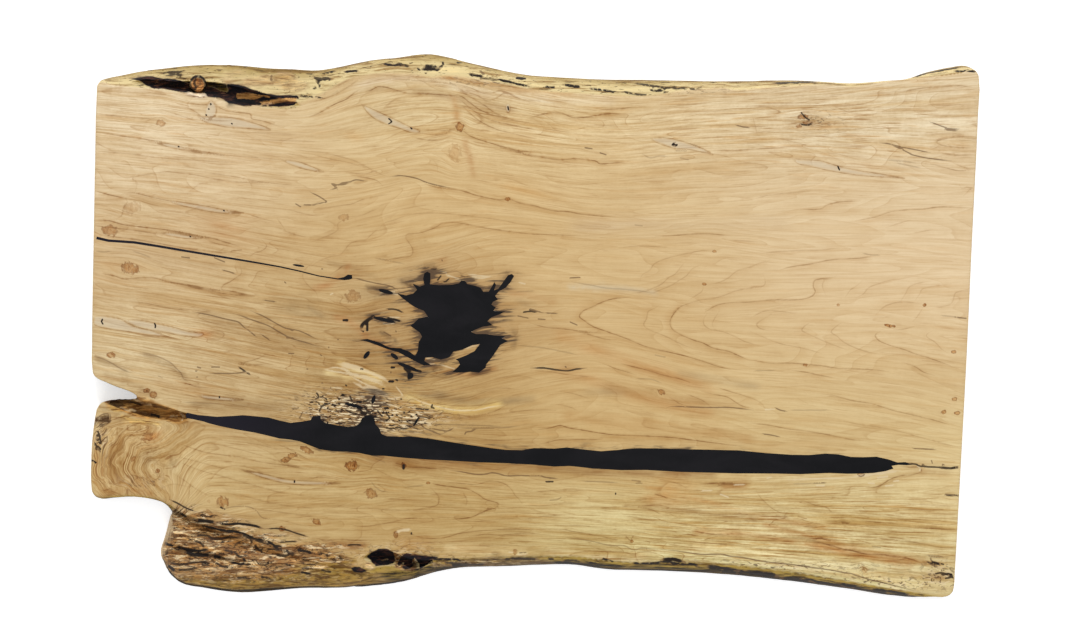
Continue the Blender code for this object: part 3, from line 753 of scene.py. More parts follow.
# %% Lines of the lower right
drawn_rows += rows_of("""
k 530,476 540,475.5 545,477 558,478.5
b 546,481.5 553,481.5
h 582,481 600,481.6 618,482.5
h 632,480 640,481
h 636,483 642,483
m 530,492 545,491 560,490 575,490 590,491
h 550,500 558,499 561,497
b 615.4,493 615.6,494
f 536,506 560,504 580,503
m 618,507 630,506 645,505.5 660,504
m 638,508 650,509 655,511 661,514 670,515
m 530,517 545,516 560,515 570,514.5
m 555,525 575,525 590,525.5
f 530,523 545,524
m 530,529 550,529 565,529.5 572,531 585,533 600,536 615,539 625,538
h 565,537 580,539 592,541 600,543 612,545.5 622,545 628,547 631,549 636,549.5 640,548 648,548 660,549.5
k 655,549 672,550 685,552 700,554 712,554 722,554 730,556 740,557 750,558.6 762,561 775,562.5 790,564
  803,566 818,568 832,570 845,572.5 850,573 858,576 865,578 872,580 885,583 905,588 925,593
m 590,546 600,549 612,551 625,552 632,554 640,552 650,551 660,550
m 626,536 630,540 633,536
s 686,529 700,532 715,534 730,533.5 745,534 750,535
m 750,534 758,534.5 770,535.5 785,537.5 800,538 812,539 820,538 828,540 838,541.5
m 815,536 825,536 832,538
m 680,541 690,541 700,542.5 715,543.5 730,544.5 745,546
f 620,515 640,518 655,521 670,522 685,524 700,527
m 655,478 664,480 673,482 681,485 688,489
m 668,499 681,499.5
m 655,494 665,497
m 660,503 672,504
m 636,500 646,499
q 715,487 725,484 740,484 750,483
q 700,483.4 715,483 735,482
q 806,541 812,541 822,543 832,545.5 840,548 850,550 860,552.5 868,554 880,554 892,556 903,557 912,559.5
  918,561.5 922,563
m 756,490 760,497 767,504 773,509 780,512 787,512
m 776,515 786,516
m 798,516 806,518.5
m 802,500 815,505 826,507 832,512 845,513
m 820,520 830,521 845,521 850,521.5
m 842,523 848,523.5
m 860,512 866,512
g 793,483.6 812,483.4
k 812,482.9 826,482.6
c 785,480 815,478.4 850,478
c 767,478 771,477
c 816,485.4 824,485.2
c 868,483 874,483.4
c 877,477.6 887,476.6
c 885,485.6 892,485.2
v 850,477 868,474.6 885,472.6 900,470
c 733,484.8 745,484.2
c 700,490.8 713,490.2
c 720,494 728,497
s 865,487 875,487 882,484 888,480 895,477 903,475 912,474.5 920,472 921,469.5 917,467 910,467 900,466.5
k 857,474 860.5,471.6 864,474 860.5,476.4 857,474
b 904,462.6 915,464 920,466 935,467 950,468 960,467
k 931,460.4 931.8,463
k 942,464.2 943.2,464.6
k 922,464 923.2,464.4
t 938,467.2 950,468 961,466.4
c 917,466 920,468.4 919,470.4
c 882,472.6 890,470.6
c 880,477 887,476
c 893,481 898,480.6
b 944,495 958,495
m 900,509 930,510 942,509.5
f 943,515 955,513
h 925,554.6 940,555.4
h 928,556.6 945,557.4
t 932,562 938,563.4
b 938,563 943,564
k 925,560 930,564 936,567
b 933,574 941,572.4 948,575
t 945,573.6 951,574.4
m 931,577 944,578
m 915,527 925,528 940,529 957,529.5
m 862,566 864,570 867,573
m 750,547 770,550 790,551 810,553 830,555
f 835,530 845,532 855,533.5
h 872,546 880,547
m 900,540 920,543 940,547 957,548
f 750,520 790,524 830,529
f 860,520 900,524 950,528
f 860,500 900,503 955,506
f 760,556 800,558 850,562 900,570 945,577
f 700,515 740,514 790,518
f 720,524 760,526 800,530
f 850,536 880,538 910,542
""")

# %% Lines of the spalted lobe
drawn_rows += rows_of("""
t 189.6,85 192,79 197.6,76 203.6,78.6 206,85 203,91.6 197.4,93.4
b 192.6,90.6 190,88 189.6,85
b 196,80 194.6,84 197,88 195,90
k 200,80 201,84 199,86
c 150,88.4 158,89.4 170,91.4 180,92.6
c 206,88 209,90.4 207,92
k 213,66 218,63.4 224,66 220,69 214,67.6
b 216,66 217,66.6
b 221,66.4 223,67
b 160,73.6 168,72 178,71.6 186,70.4
b 164,75.2 176,74.4 184,74.6
b 303,72 312,73 318,71.6 326,73
b 312,76.4 320,79 326,78 334,79.4
b 316,81.6 320,86 312,90
b 298,95.6 312,97 325,98.6
b 170,499.3 178,503 187,508 197,511.4
c 192,510.4 197,511.6
b 181.4,513.6 185.7,516.4
w 196,519.4 205,520.6 216,522
t 216,521.6 226,524 240,523.6 255,525.6 265,529
b 265,528.6 282,528.6 300,534 310,537
t 195,524 210,527.4 222,530 235,531.4 245,534 255,539 262,540.4 270,545
c 200.7,521.6 208.6,524
v 169,527 176.6,527.4
v 168,531 176.4,531.4
k 166,536 168,533.8 172,533.2 176,535 176.4,537.4 172,538.8 167,538 166,536
v 172,518 180,521 190,526
c 178,530 188,534 198,536
c 175,541 190,541.6 200,546
b 193.3,539.3 197.3,535.7 207,535 213,538 221.4,538.6 228.6,537 234,537.4 243.6,538.6
b 193.6,539.3 199,542 203,545 205,548
t 164,542 170,545 176,545
t 174,545.7 182,548 190,550 197,550.5 211,549
w 184,550.6 192,553.6 202,554.6 212,555.6
t 213,555 220,557 213,557.6
b 166,561.4 175,564 185,564 193,562.4 205,561.4 213,562
t 202,561.4 209,563
v 178,566.6 186,567 198,565.6
c 176,559 190,559.6 206,558.6
w 169,566 173,570
b 176,570 186,569.6 200,567.6
b 217,563 222,566 228,567
t 241.4,556.4 245,560 243,564 235,562.6 228.6,562
b 223,550 233,551 230,554
b 235,551 238.6,555.7 245,557
v 243,536.6 250,540.6 254,546
b 241.4,534.3 247,536 252,541 250,545
b 253,538.6 262,542 272,545
b 255,545 258,549 262,551
v 247,545.6 253,549
t 267,540 275,545.7 280,547
w 276,546.4 280,546.8
b 278.6,542 290,541.4 298.6,541.4
b 265.7,549.3 274,549 282,550
b 274,554 285,555.7 292.9,553 297,554
b 287,550 290,554 293,555
t 298.6,550 305,550.8 310,552
c 284,551.6 292,551.4
c 224,553 236,556.6
v 246,559.6 256,562 268,562.6
c 217,560 228,564
v 206,568.6 222,568.6 236,566.4
q 258.6,566 270,570 280,570 288,566
s 260,558.6 272,560 285,559
s 262,568 275,571.6 287,568 295,561
q 210,572.6 230,571.6 250,571
q 240,546.6 250,551 258,556
q 204,545.6 220,545 236,546
s 190,527 210,531 230,535.6
s 176,523.6 190,530 200,531.6
k 205.6,577 207,577.2
b 238,578 246,577.6
b 262,577 270,578.4
t 300,572 312,574
b 322,570 330,571.6
""")

# %% Lines on the live edges
drawn_rows += rows_of("""
w 421,69 428,69 436,69.6 441,67.6
w 424,67 432,67 438,67.4
t 440,68 443,64.6 443,62
t 420,70 418,68.6
t 382,63.6 390,65 398,64.6 404,66
b 396,63 404,64.6 410,67.4
t 343,71.6 352,71 359,70.8
b 310,72.4 325,71
t 322,73.4 336,71
t 315,80.6 332,79.4
b 458,62.4 462,62
t 472,75.4 479,76.2
t 468,74 484,77
k 481,71 484,74
t 495,79 505,81 520,84.4 531,87
t 517,78 525,78.4
t 546,86.8 554,87.6
t 562,84.6 575,86.4 582,87.6
t 588,88.4 600,89.6 610,91.4 619,92.6
b 628,83 640,84 655,86 672,88 690,89 705,90
t 648,90 660,91 668,93
b 620,91.6 634,94 650,95.6
g 727,86 760,84
b 770,83 785,83 800,82 820,82
t 911,78 925,73 940,70 955,67 963,66
t 953,71 965,71 977,72
g 930,75 940,74 948,72
m 160,74 180,72 186,70
k 215,66 221,63.6 227,66 221,68.2 215,66
k 271.5,75.4 271.5,76
k 271.5,79 271.5,79.6
b 302,71 315,71
m 296,72 303,90
b 95,79 104,77.4 120,75.6
b 440,562 455,563.4 475,565 490,563
t 430,559.4 445,559 465,559.8
w 450,566 470,566.4
b 500,560 520,558.6 540,559.4
b 548,558.8 553,559
t 590,563 596,563.4
t 602,558.6 608,560
b 610,561 613,561.6
t 630,563 650,563.4 664,562.6
w 661,559.6 672,559 684,562
t 668,563.6 690,564 700,567
w 704,566.4 720,568 740,571
w 744,571 760,574 778,577
w 780,578.6 796,579.6 812,582
t 812,583 830,586 850,588.6
t 850,588 870,591.6 890,593
t 720,571.6 738,574
b 560,562 572,560.4 584,563
t 652,563.4 664,561.6 676,562.6
t 735,571 750,572.4 765,573.4 780,575.4
t 800,579 820,582.4 845,587
t 868,589 890,591.6 912,595.4
b 801,113 804,116.6
b 799,124 806,125.4 813,123.6
b 806,118.6 809,120
k 945,494 953,494.4
k 951,495.6 959,495
k 926,555 936,557 942,556
b 926,561 932,563.6 940,563
b 941,575 947,573.6
b 945,578 952,577
k 930,558.6 934,566
""")

# %% Drying checks
check_rows = rows_of("""
b 168,499 178,503.4 187,508
b 904,462.6 915,464 920,466 935,467 950,468 960,467
t 690,552.6 712,554 740,557 775,562.5 803,566 845,572.5
t 736,556.6 742,557.6
t 866,580 874,583
k 845,573 866,580 880,584 905,590 921,595
k 655,549 672,550 690,552.6
b 530,368 544.3,368 555.7,369.7
""")

# %% [markdown]
# ## Beetle lenses and knots
# An ambrosia beetle bores a hole a millimetre or two wide, and fungus from it stains the wood along
# the grain into a long pointed lens: cream inside, with a fine brown outline and a black hole. A knot
# is a small branch cut across: a turned ellipse with a darker rim, round which the grain bends.

# %% Lens outlines, beetle holes and knots
LENSES = rows_of("""
361,104 372,109 385,115 398,121 410,127 418,130 420,132.5 412,133 398,128 385,124 375,119 368,113
650,138.5 665,138 680,141 695,146 705,150 713,155 705,153 690,150 676,149 663,145 655,142
792.5,160 805,160 820,161 830,164 845,168 860,171 880,174 904,178.5 885,177.5 865,176 845,173.5 825,170
  808,166 798,164
95,316.5 104,316 121,319 133,326 150,330 164,335 180,340 161,336.5 147,335 130,332 110,329 95,324.6
124,320 140,320 157,323.5 173,327 190,331.5 204,333.5 198.5,337 181,335.5 170,333 161,331.5 150,330 136,326
157,233 172,233 190,236 203,238 190,238.9 172,236.4
172,201 200,205 225,210 245,213 220,213 195,208.6 172,203
151,142 170,144 190,149 227,155.7 205,153.6 180,149.6 165,146
281,160 295,161 310,166 324,172 308,170 292,165
205.5,110 211,101 216,106 216.5,113 212,118.6 206.5,116
198,116.6 230,117.6 250,122 271,130 246,128.6 225,127 205,122
506,104 509.6,104.6 510,111 508,113 505.4,109
237,468 265,474 290,479.6 315,481 341,483 320,484.6 300,484.4 280,482 255,474.6
195.7,394.3 204,395 218.6,396.4 233,398 244,399.7 232,400.6 216,399.8 204,398
""")

LENS_HOLES = rows_of("""
389,119 392,122 389,124
411,128 412,129
675,142 672,145 677,145 674,147
837.5,166.5 839,170
103,319.3 102,321.5 103.5,324
155,323.3 156,325.5 155.7,327.5
190.4,236.5 191,236.7
224,210.3 224.6,210.9
178.8,146.6 179.4,147
211,104 211.4,104.6
209,109 209.4,109.6
206.5,115 206.9,115.6
232,123.6 232.6,124.2
508,107 508.6,110
294.8,480.6 294.8,482.2
219.7,396.6 219.9,397.8
""")

# x,y half length,half width, turn in degrees anticlockwise, how dark
KNOTS = rows_of("""
161.3,123.2 4.2,3.6 0 0.5
130,268.5 9,6 -10 0.7
110.6,230.6 8,5 -10 0.6
133,208 9,6 20 0.25
112,355 4,3 -15 0.8
353.6,296 7.4,6.2 10 0.5
147,390 3.4,2.4 0 0.9
154,395 4.4,3 -20 0.8
222.6,501.8 6.6,5 -30 0.7
292.5,455.6 5.4,2.6 10 0.8
286,459.4 5,2.6 10 0.9
352.4,465.5 6.6,5.4 0 1
371,493.3 6.4,4.6 -30 0.7
316.4,521.2 5.4,2.8 -20 0.9
307,449.8 7,3 -30 0.8
404,466 2.6,3.6 0 1
460,127 4,4.6 0 0.9
507.4,199.2 3,2 0 0.9
455,153 6,9 0 0.25
343,217 5,3.6 0 0.4
803,117 5,2.6 0 0.9
807,123 5,1.8 0 0.9
798.6,126.5 3,1.6 0 0.8
924,305 2,1.5 0 1
889.5,325.8 5.6,1.6 -9 1
714,251.5 2.4,1.6 0 0.8
704,284 2.4,1.4 0 0.9
805,365 2.4,1.6 0 0.8
661,392 5,2.6 -20 0.8
838,305 2,1.4 0 0.7
953,352 3,2.2 0 0.9
943,412 3,2 0 0.9
957,413 3,2 0 0.9
954,399 2.6,2 0 0.8
631.6,541 1.8,1.6 0 1
864,570 2.6,3.8 0 0.5
515,551.5 2.4,2.6 0 0.6
209,501 2,2 0 0.3
197.6,84.5 7.6,7.6 0 0.35
428.4,482.4 2.2,1.4 0 0.9
337.4,559 2.2,1.6 0 0.9
413,565.6 4.6,5.2 0 1
396,534.6 2.2,3.6 0 0.7
209.6,513 5,2.4 -40 0.5
147.6,437 7,4 20 0.5
133.6,459 3.4,2 40 0.7
158,470.5 2,2 0 0.9
282,528.6 3.6,2.4 0 1
860.5,474 4,2.6 0 0.8
""")

# %% [markdown]
# ## Colours of the wood, in big soft areas
# Maple runs from nearly white sapwood to tan. A few named tones are set down where they are strongest,
# and every point of the skin takes the average of those near it. Bands and clouds are laid over that
# for the stain of fungus and the smoke of mineral, and two brown bands along the river's lower bank
# are painted shade, where the bank rolls down to the resin. Last come the areas with a clear edge, such
# as the bark pocket: each is a closed row of points and one colour.

# %% Tones, bands and clouds
# name: x,y reach colour as red,green,blue out of 255
TONES = rows_of("""
pale sapwood: 150,125 90 222,200,163
crest: 420,92 80 218,196,152
upper middle: 560,150 110 214,187,139
upper right: 860,120 130 221,201,165
right: 880,260 110 222,197,158
right of the hole: 640,290 100 205,176,127
above the hole: 440,230 80 205,175,124
left: 180,250 90 207,180,137
left of the hole: 300,290 60 190,160,110
smoky left of the hole: 372,326 30 168,134,88
smoky right of the hole: 520,320 26 184,152,104
smoky above the hole: 450,268 24 182,150,104
by the river's mouth: 370,400 30 184,152,100
below the hole: 430,400 60 180,147,95
above the river: 640,420 90 203,172,120
right, above the river: 860,410 90 208,180,132
left, above the notch: 140,365 60 212,190,148
streaks by the notch: 240,395 50 186,156,110
end of the lower stem: 125,455 50 213,186,134
lower stem: 250,490 90 196,169,119
lower middle: 450,510 100 189,160,106
lower right: 800,520 130 213,194,142
yellow edge: 620,555 60 212,199,144
pale lower edge: 840,570 60 222,210,162
right edge: 965,480 50 226,206,156
""")

# half width in pixels, amount, colour, points
# the two brown bands along the river's lower bank, 364 to 720 across, are painted shade where the bank rolls
# down to the resin
BANDS = rows_of("""
5 0.5 228,211,180 345,91 375,81 410,79 440,83 470,90 510,96 560,100 620,100
3.4 0.35 172,142,104 345.5,97 373,89 409,89 431.6,93 456.6,99 490,106 520,111
7 0.35 190,162,122 100,250 140,254 180,262 230,270
3.4 0.45 186,134,74 453,94 455,104 457,116 459,130
3 0.4 176,124,70 463,135 470,160 475,180
2.2 0.5 190,138,76 432,73 443,76 459,80.4 484,84.6 512,89 545,92.6 576,94
5 0.55 150,104,54 364,458 400,461 440,463 490,466 540,468
4 0.6 142,98,50 530,467 600,472 660,473 720,475
4 0.4 136,104,64 186,404 225,406 262,407 300,407
3 0.3 132,102,64 200,398 240,400 290,404
6 0.4 150,112,66 193,311 225,322 260,338 300,352
7 0.35 146,112,70 250,318 290,336 330,350
3 0.36 206,196,170 565,287 610,288 660,293
4 0.3 148,126,94 672,372 715,380 765,388
4 0.4 130,106,74 430,395 480,402 540,398
6 0.36 184,132,74 548,330 600,352 660,372 720,392
6 0.34 180,126,66 545,362 600,384 660,402 720,414
3 0.4 142,106,62 100,372 125,381 148,392 160,400
5 0.35 180,132,72 150,380 180,388 220,394
4 0.5 150,96,40 322,543 345,546 372,543
3 0.5 150,92,40 310,553 325,556 335,552
6 0.35 176,126,66 392,540 410,544 440,541
6 0.4 186,132,66 636,502 660,500 690,505
4 0.6 168,108,46 716,486 735,485 752,484
5 0.4 190,142,84 806,541 850,551 920,563
10 0.3 196,172,140 560,228 640,225 720,222 800,222
5 0.35 160,118,70 900,466 925,470 955,472
6 0.4 176,130,70 556,414 620,422 700,432 760,440
5 0.35 166,124,70 600,383 640,392 690,401 740,408
2.4 0.4 132,100,60 140,352 160,361 178,371 190,382
2.6 0.4 138,106,64 93,356 112,364 131,373
5 0.4 136,100,60 165,503 190,514 215,520 262,527 310,538
4 0.5 232,214,166 440,546 480,550 530,551
5 0.45 228,212,168 540,552 620,557 680,556
5 0.4 228,214,170 680,548 760,566 850,581 900,589
3 0.6 152,108,52 392,460 410,466 440,468
3.4 0.45 176,128,66 99,490 130,491 160,494
5 0.35 214,190,138 352,420 380,431 410,434
4.4 0.75 222,194,124 400,392 418,401 434,406 452,410 475,410 492,406 506,403
3.4 0.8 232,210,150 334,362 350,367 368,373 386,382
2.6 0.5 186,132,68 690,531 740,534 790,541 850,553 915,566
2.2 0.45 182,128,64 760,523 830,541 900,557 945,566
2.4 0.4 188,136,74 640,486 700,500 760,516 830,528
3.4 0.5 236,220,168 690,543 780,556 860,573 925,588
3 0.45 236,222,176 650,500 720,510 800,519 880,528
2.4 0.4 150,110,64 640,505 700,512 760,520
3 0.35 150,118,76 322,262 350,268 372,276 384,290
3 0.4 176,112,58 310,290 330,284 344,272 352,262
3 0.4 178,116,60 330,316 350,322 372,340 396,350
2.6 0.4 172,112,56 420,358 440,369 470,374 500,366
3 0.35 176,120,64 505,292 530,296 560,304
2.2 0.7 84,62,44 364,286 378,289 398,294
2 0.6 92,70,50 378,330 388,336 399,344
2.4 0.45 124,100,72 306,305 314,311 326,319
2 0.6 88,66,46 398,279 408,284 416,288
2 0.6 88,66,46 384,355 396,362 405,368
2 0.65 84,64,46 416,361 430,366 446,369
2.6 0.6 92,70,48 509,328 516,336 511,350
2 0.6 84,62,44 468,372.6 480,372.6 493,368
2 0.6 88,66,46 490,291 498,285 506,276 511,271
2.2 0.65 92,70,48 422,286 422.6,274 427,267 434,267 434.6,282
2 0.5 96,74,50 488,303 494,310 490,318
1.8 0.5 96,74,50 440,283 456,281.6 474,283
2.4 0.4 120,96,68 514,300 526,303 538,306
2.2 0.4 120,96,68 420,372 436,376 456,377
3 0.65 118,90,46 438,562 480,563 520,563 560,563 600,564 640,565.6 665,562.6 693,563 743,571.4 774,574.4
  815,582 852,588 890,593 927,597
3 0.55 196,184,124 640,558 690,557 743,563 790,570 840,578 890,587
2.8 0.75 228,204,146 322,371 345,376 372,383 392,392
2.4 0.7 232,212,160 352,390 372,394 392,402
""")

# x,y half length,half width, turn in degrees anticlockwise, amount, colour
CLOUDS = rows_of("""
305,309 26,9 -12 0.4 140,116,82
225,229 30,12 -14 0.35 190,138,84
412,276 18,8 10 0.4 138,112,78
510,281 8,10 0 0.3 150,124,86
379,295 20,6 -6 0.4 142,116,80
154,436 9,5 20 0.55 186,124,56
604,392 18,5 0 0.4 140,118,86
432,396 18,5 0 0.4 130,106,74
672,490 20,12 0 0.35 204,146,74
148,458 10,10 0 0.4 142,122,96
174,461 6,8 0 0.35 150,130,100
140,482 18,9 0 0.35 170,124,64
350,412 30,12 -10 0.4 150,120,78
330,380 30,16 -14 0.25 160,132,86
455,153 8,12 0 0.3 206,164,104
355.5,136.6 8,4 0 0.35 214,170,108
246,97 10,3 0 0.3 180,132,78
442,260.5 5,3 0 0.4 176,122,66
205,334 10,5 0 0.45 186,126,66
565,367.5 7,4 0 0.4 150,104,58
803,121 14,8 10 0.35 176,148,112
845,135 40,10 0 0.2 196,176,142
700,218 60,14 0 0.2 224,200,152
520,190 30,8 -10 0.25 206,158,92
320,475 30,10 0 0.2 206,178,128
180,420 14,8 0 0.35 150,116,66
820,534 22,6 0 0.2 176,142,92
939,562 14,7 0 0.35 160,124,74
940,575 12,5 0 0.45 150,106,56
118,412 16,7 -20 0.4 120,86,44
250,345 30,12 -16 0.2 176,142,92
790,445 40,6 0 0.2 190,150,96
500,470 40,6 0 0.25 170,128,72
930,90 44,6 0 0.25 196,170,128
""")

# %% Areas with a clear edge
# name: softness of the edge in pixels, amount, colour, outline
# the yellow lip of the crotch is a painted highlight along the recess's lower lip
AREAS = rows_of("""
spalted lobe: 3 0.85 150,108,60 160,512 176,510 200,519 225,526 250,534 280,541 312,547 345,556 368,566
  372,590 200,596 150,580 150,540
olive underside of the lobe: 4 0.85 148,121,56 176,572 205,575 235,575 265,574 300,567 330,558 350,560
  372,566 380,600 170,600
bark pocket: 1 0.97 22,15,12 127,77.6 138,75.6 152,76 162,79 176,80.4 189,84 198,83 208,88 227,91 228.4,84.6
  238,84 247.6,87.6 262,91.4 280,94 298,95.4 299,99 290,100 298,103 292,106.6 283,107.6 260,107 241,104.6
  229.7,102.7 215.7,97.6 208,95.4 190,94.6 175,92.6 155.7,88.6 145.5,83.6 131.5,80.4
brown islands: 0.8 0.95 196,148,88 236,93.4 246,91.6 262,95 272,96 270,98.4 262,97.6 254,99.6 244,97.4
  238,97.6
brown island, right: 0.8 0.95 204,158,100 258,101.4 274,99.4 286,97.4 297,98 296,102.6 286,102 278,103.6
  262,105
white lip of the pocket: 0.8 0.85 230,200,166 252,104.8 262,103.6 272,102.6 273,104.4 266,105.6 258,106.8
  253,106.4
pale patch by the peg: 0.8 0.9 226,208,182 184,92.6 190,91 196,94.6 204,93.6 207,96.6 204,98.4 194,98
  185,95.4
branch peg: 0.8 1 200,152,96 190.6,85 193,79.6 198,77.8 203,80 204.6,85 202,90.6 197.4,92 192.6,90
crotch recess: 1.1 0.92 188,144,80 106.7,401.7 112,399.6 136.7,396 145,400 153.3,401.7 165.8,405 174,407.5
  186,412.5 186,420 170,421.3 161.7,420.4 149,419.2 136.7,417.5 128.3,414.2 120,409.2 111.7,405.8
dark mouth of the crotch: 1 0.85 88,68,44 107.5,401 112,399.8 128,399 138,398.6 134,403 124,404.6 118,406.4
  112,404.4
dark streak of the crotch: 1.2 0.75 84,62,32 128,407.6 140,409.6 150,412.6 160,415.6 161,418 150,417.4
  140,415 131,412
yellow lip of the crotch: 1.4 0.75 206,172,104 112,407.6 120,410.6 128,416 136.7,419 150,421 165,422.6
  150,423.6 132,421.4 122,417 113,411.6
bark inclusion: 0.7 0.92 108,86,60 94,420.4 99,416.9 104,413.9 110.8,413.2 111.3,416.7 110.4,420.8 107,424.8
  103.3,425.4 99,424.2 94,423.7
brown wane above the pocket: 4 0.5 172,128,68 226,72 250,74 280,78 304,84 306,92 290,91 262,88 240,82 228,80
brown stain on the wane: 3 0.55 164,120,62 276,70 286,69 292,76 290,88 284,92 280,84
brown wane by the lower pocket: 3 0.6 160,122,66 430,562 446,559 462,560 476,563 466,567 446,570 432,570
yellow wane below the pockets: 5 0.8 134,108,54 364,568 384,572 396,576 404,573 414,574 424,569 434,566
  446,568 452,576 430,584 404,592 380,598 360,598
dark brown wane: 2 0.7 84,60,28 450,563 470,558 500,557.4 540,558 552,560 552,567 500,569 470,571
lower pocket: 0.8 0.97 20,15,12 367.6,556.8 374,551.4 378.4,548.3 387,548.8 394.5,552.3 398,555.8
  394.6,563.9 388,565.7 375.7,566.6 371,562
bridge between the pockets: 0.9 0.9 150,106,58 394,552 400,554 406,553.4 416,554 417,562 418,568 412,572
  402,571 394,566
lower pocket, strip: 0.7 0.95 24,17,13 395.6,564 401,556.6 407,553 411,554 405,559.6 400,565.4
lower pocket, hole: 0.7 0.95 26,18,14 402,567.4 405,561.6 410,556 415.4,555 412,560.4 414,565 410,569.4
  405,570
lower pocket, right: 0.8 0.97 22,16,12 415,555 431,556.8 437,557.4 430,561.8 426.4,565.4 419.6,571.4
  419,564.9
pale rim of the pocket: 0.8 0.85 210,184,138 364,563 369,560 374,566 377,569.6 371,571 365,568
brown pit: 0.8 0.9 48,32,16 349,568.4 354,565 361,565.6 368,571 362,573 354,572
worn brown in the pocket: 0.9 0.7 120,84,40 378,560 386,556.6 391,558 389,561 381,562.6
""")

# %% [markdown]
# ## From rows of text to smooth curves
# The listed points stand ten pixels or so apart. A Catmull-Rom curve joins them: each piece is a
# cubic that passes through its two points and leaves each of them parallel to the chord between that
# point's neighbours.

# %% Read the rows and smooth them
CURVE_STEP = 2.6


def smooth_curve(points):
    """A curve through points: on each piece, half of 2 p1 + (p2 - p0) u + (2 p0 - 5 p1 + 4 p2 - p3) u²
    + (3 p1 - p0 - 3 p2 + p3) u³, with u from 0 to 1 and p0 to p3 the four points round the piece."""
    points = np.asarray(points, float)
    padded = np.vstack([2 * points[0] - points[1], points, 2 * points[-1] - points[-2]])
    chord = np.hypot(*np.diff(points, axis=0).T)
    counts = np.maximum(1, np.ceil(chord / CURVE_STEP)).astype(int)
    piece = np.repeat(np.arange(len(chord)), counts)
    u = (np.arange(counts.sum()) - np.repeat(np.cumsum(counts) - counts, counts)) / counts[piece]
    p0, p1, p2, p3 = (padded[piece + shift] for shift in range(4))
    u = u[:, None]
    curve = (2 * p1 + (p2 - p0) * u + (2 * p0 - 5 * p1 + 4 * p2 - p3) * u**2
             + (3 * p1 - p0 - 3 * p2 + p3) * u**3) / 2
    return np.vstack([curve, points[-1:]])


def read_lines(rows):
    """Rows of a kind's letter and points, as (layer, half width, strength, smooth curve)."""
    return [(*KINDS[row[0]], smooth_curve(read_points(row[1:]))) for row in rows]


def read_patch(row):
    """A row of two numbers, a colour and points, as (first, second, colour, points)."""
    first, second, *rest = read_numbers(row)
    return first, second, rest[:3], np.reshape(rest[3:], (-1, 2))


def unnamed(rows):
    """The rows without the names that stand before their colons."""
    return [row.split(": ")[1] for row in rows]


drawn_lines = read_lines(drawn_rows)
lens_outlines = [smooth_curve(closed(read_points(row))) for row in LENSES]
drawn_lines += [(*LENS_OUTLINE, outline) for outline in lens_outlines]
drawn_lines += [(*BEETLE_HOLE, smooth_curve(read_points(row))) for row in LENS_HOLES]
knots = [read_numbers(row) for row in KNOTS]
tones = [read_numbers(row) for row in unnamed(TONES)]
stain_bands = [read_patch(row) for row in BANDS]
stain_clouds = [read_numbers(row) for row in CLOUDS]
areas = [read_patch(row) for row in unnamed(AREAS)]
checks = [curve for *_, curve in read_lines(check_rows)]
total_length = sum(np.hypot(*np.diff(curve, axis=0).T).sum() for *_, curve in drawn_lines)
print(f"{len(drawn_lines)} lines, {total_length * PIXEL:.1f} m in all, "
      f"{len(lens_outlines)} lenses, {len(knots)} knots")

# %% [markdown]
# ## Points for the flat faces
# Values at points blend evenly across each triangle, so a thin line stays thin only where points lie
# along its middle and both its sides. Every traced curve therefore gets three rows of points, every
# knot gets rings, and the rest of the face gets a loose honeycomb. The underside has no markings, so
# it gets a coarse one, with a row of points just inside its rim.

# %% Rows beside lines and rings round knots
ROW_OUTSIDE = 1.0
KNOT_SIDES = 12
INNER_RING, OUTER_RING = -0.6, 1.4
AREA_STEP = 2.0


def rows_beside(curve, offset):
    """A curve and its two neighbours: each point moved sideways, square to the curve, by an offset."""
    along = np.gradient(curve, axis=0)
    sideways = np.column_stack([-along[:, 1], along[:, 0]]) / np.hypot(*along.T)[:, None]
    return np.vstack([curve + shift * sideways for shift in (0, -offset, offset)])


def knot_rings(x, y, half_length, half_width, turn):
    """The middle of a knot and two turned ellipses round it: (a cos q, b sin q), turned by its angle."""
    angle = np.arange(KNOT_SIDES) * math.tau / KNOT_SIDES
    tilt = math.radians(turn)
    rings = [np.zeros((1, 2))]
    for spare in (INNER_RING, OUTER_RING):
        across, up = (half_length + spare) * np.cos(angle), (half_width + spare) * np.sin(angle)
        rings.append(np.column_stack([across * math.cos(tilt) - up * math.sin(tilt),
                                      -across * math.sin(tilt) - up * math.cos(tilt)]))
    return np.vstack(rings) + (x, y)


def area_rows(softness, corners):
    """Three rows of points along an area's outline, which is walked in even steps."""
    outline = closed(corners)
    walked = np.concatenate([[0], np.cumsum(np.hypot(*np.diff(outline, axis=0).T))])
    steps = np.arange(0, walked[-1], AREA_STEP)
    return rows_beside(np.column_stack([np.interp(steps, walked, line) for line in outline.T]), softness)


detail = np.vstack([rows_beside(curve, half_width + ROW_OUTSIDE) for _, half_width, _, curve in drawn_lines]
                   + [knot_rings(*ellipse) for *ellipse, dark in knots]
                   + [area_rows(softness, corners) for softness, _, _, corners in areas])
print(f"{len(detail)} points along markings")

# %% A honeycomb between them
HONEYCOMB = 3.15
HONEYCOMB_JITTER = 0.22
CROWDED = 1.5
SAME_PLACE = 0.55
SQUARES = (800, 500)
TINY = 1e-12
AT_ONCE = 4000
rng = np.random.default_rng(45)


def honeycomb(spacing):
    """A jittered honeycomb over the slab: every other row is set off by half the spacing."""
    across = np.arange(OUTLINE_LEFT, OUTLINE_RIGHT, spacing)
    down = np.arange(OUTLINE_TOP, OUTLINE_BOTTOM, spacing * math.sqrt(3) / 2)
    x, y = np.meshgrid(across, down)
    x[1::2] += spacing / 2
    places = np.column_stack([x.ravel(), y.ravel()])
    return places + rng.uniform(-1, 1, places.shape) * HONEYCOMB_JITTER * spacing


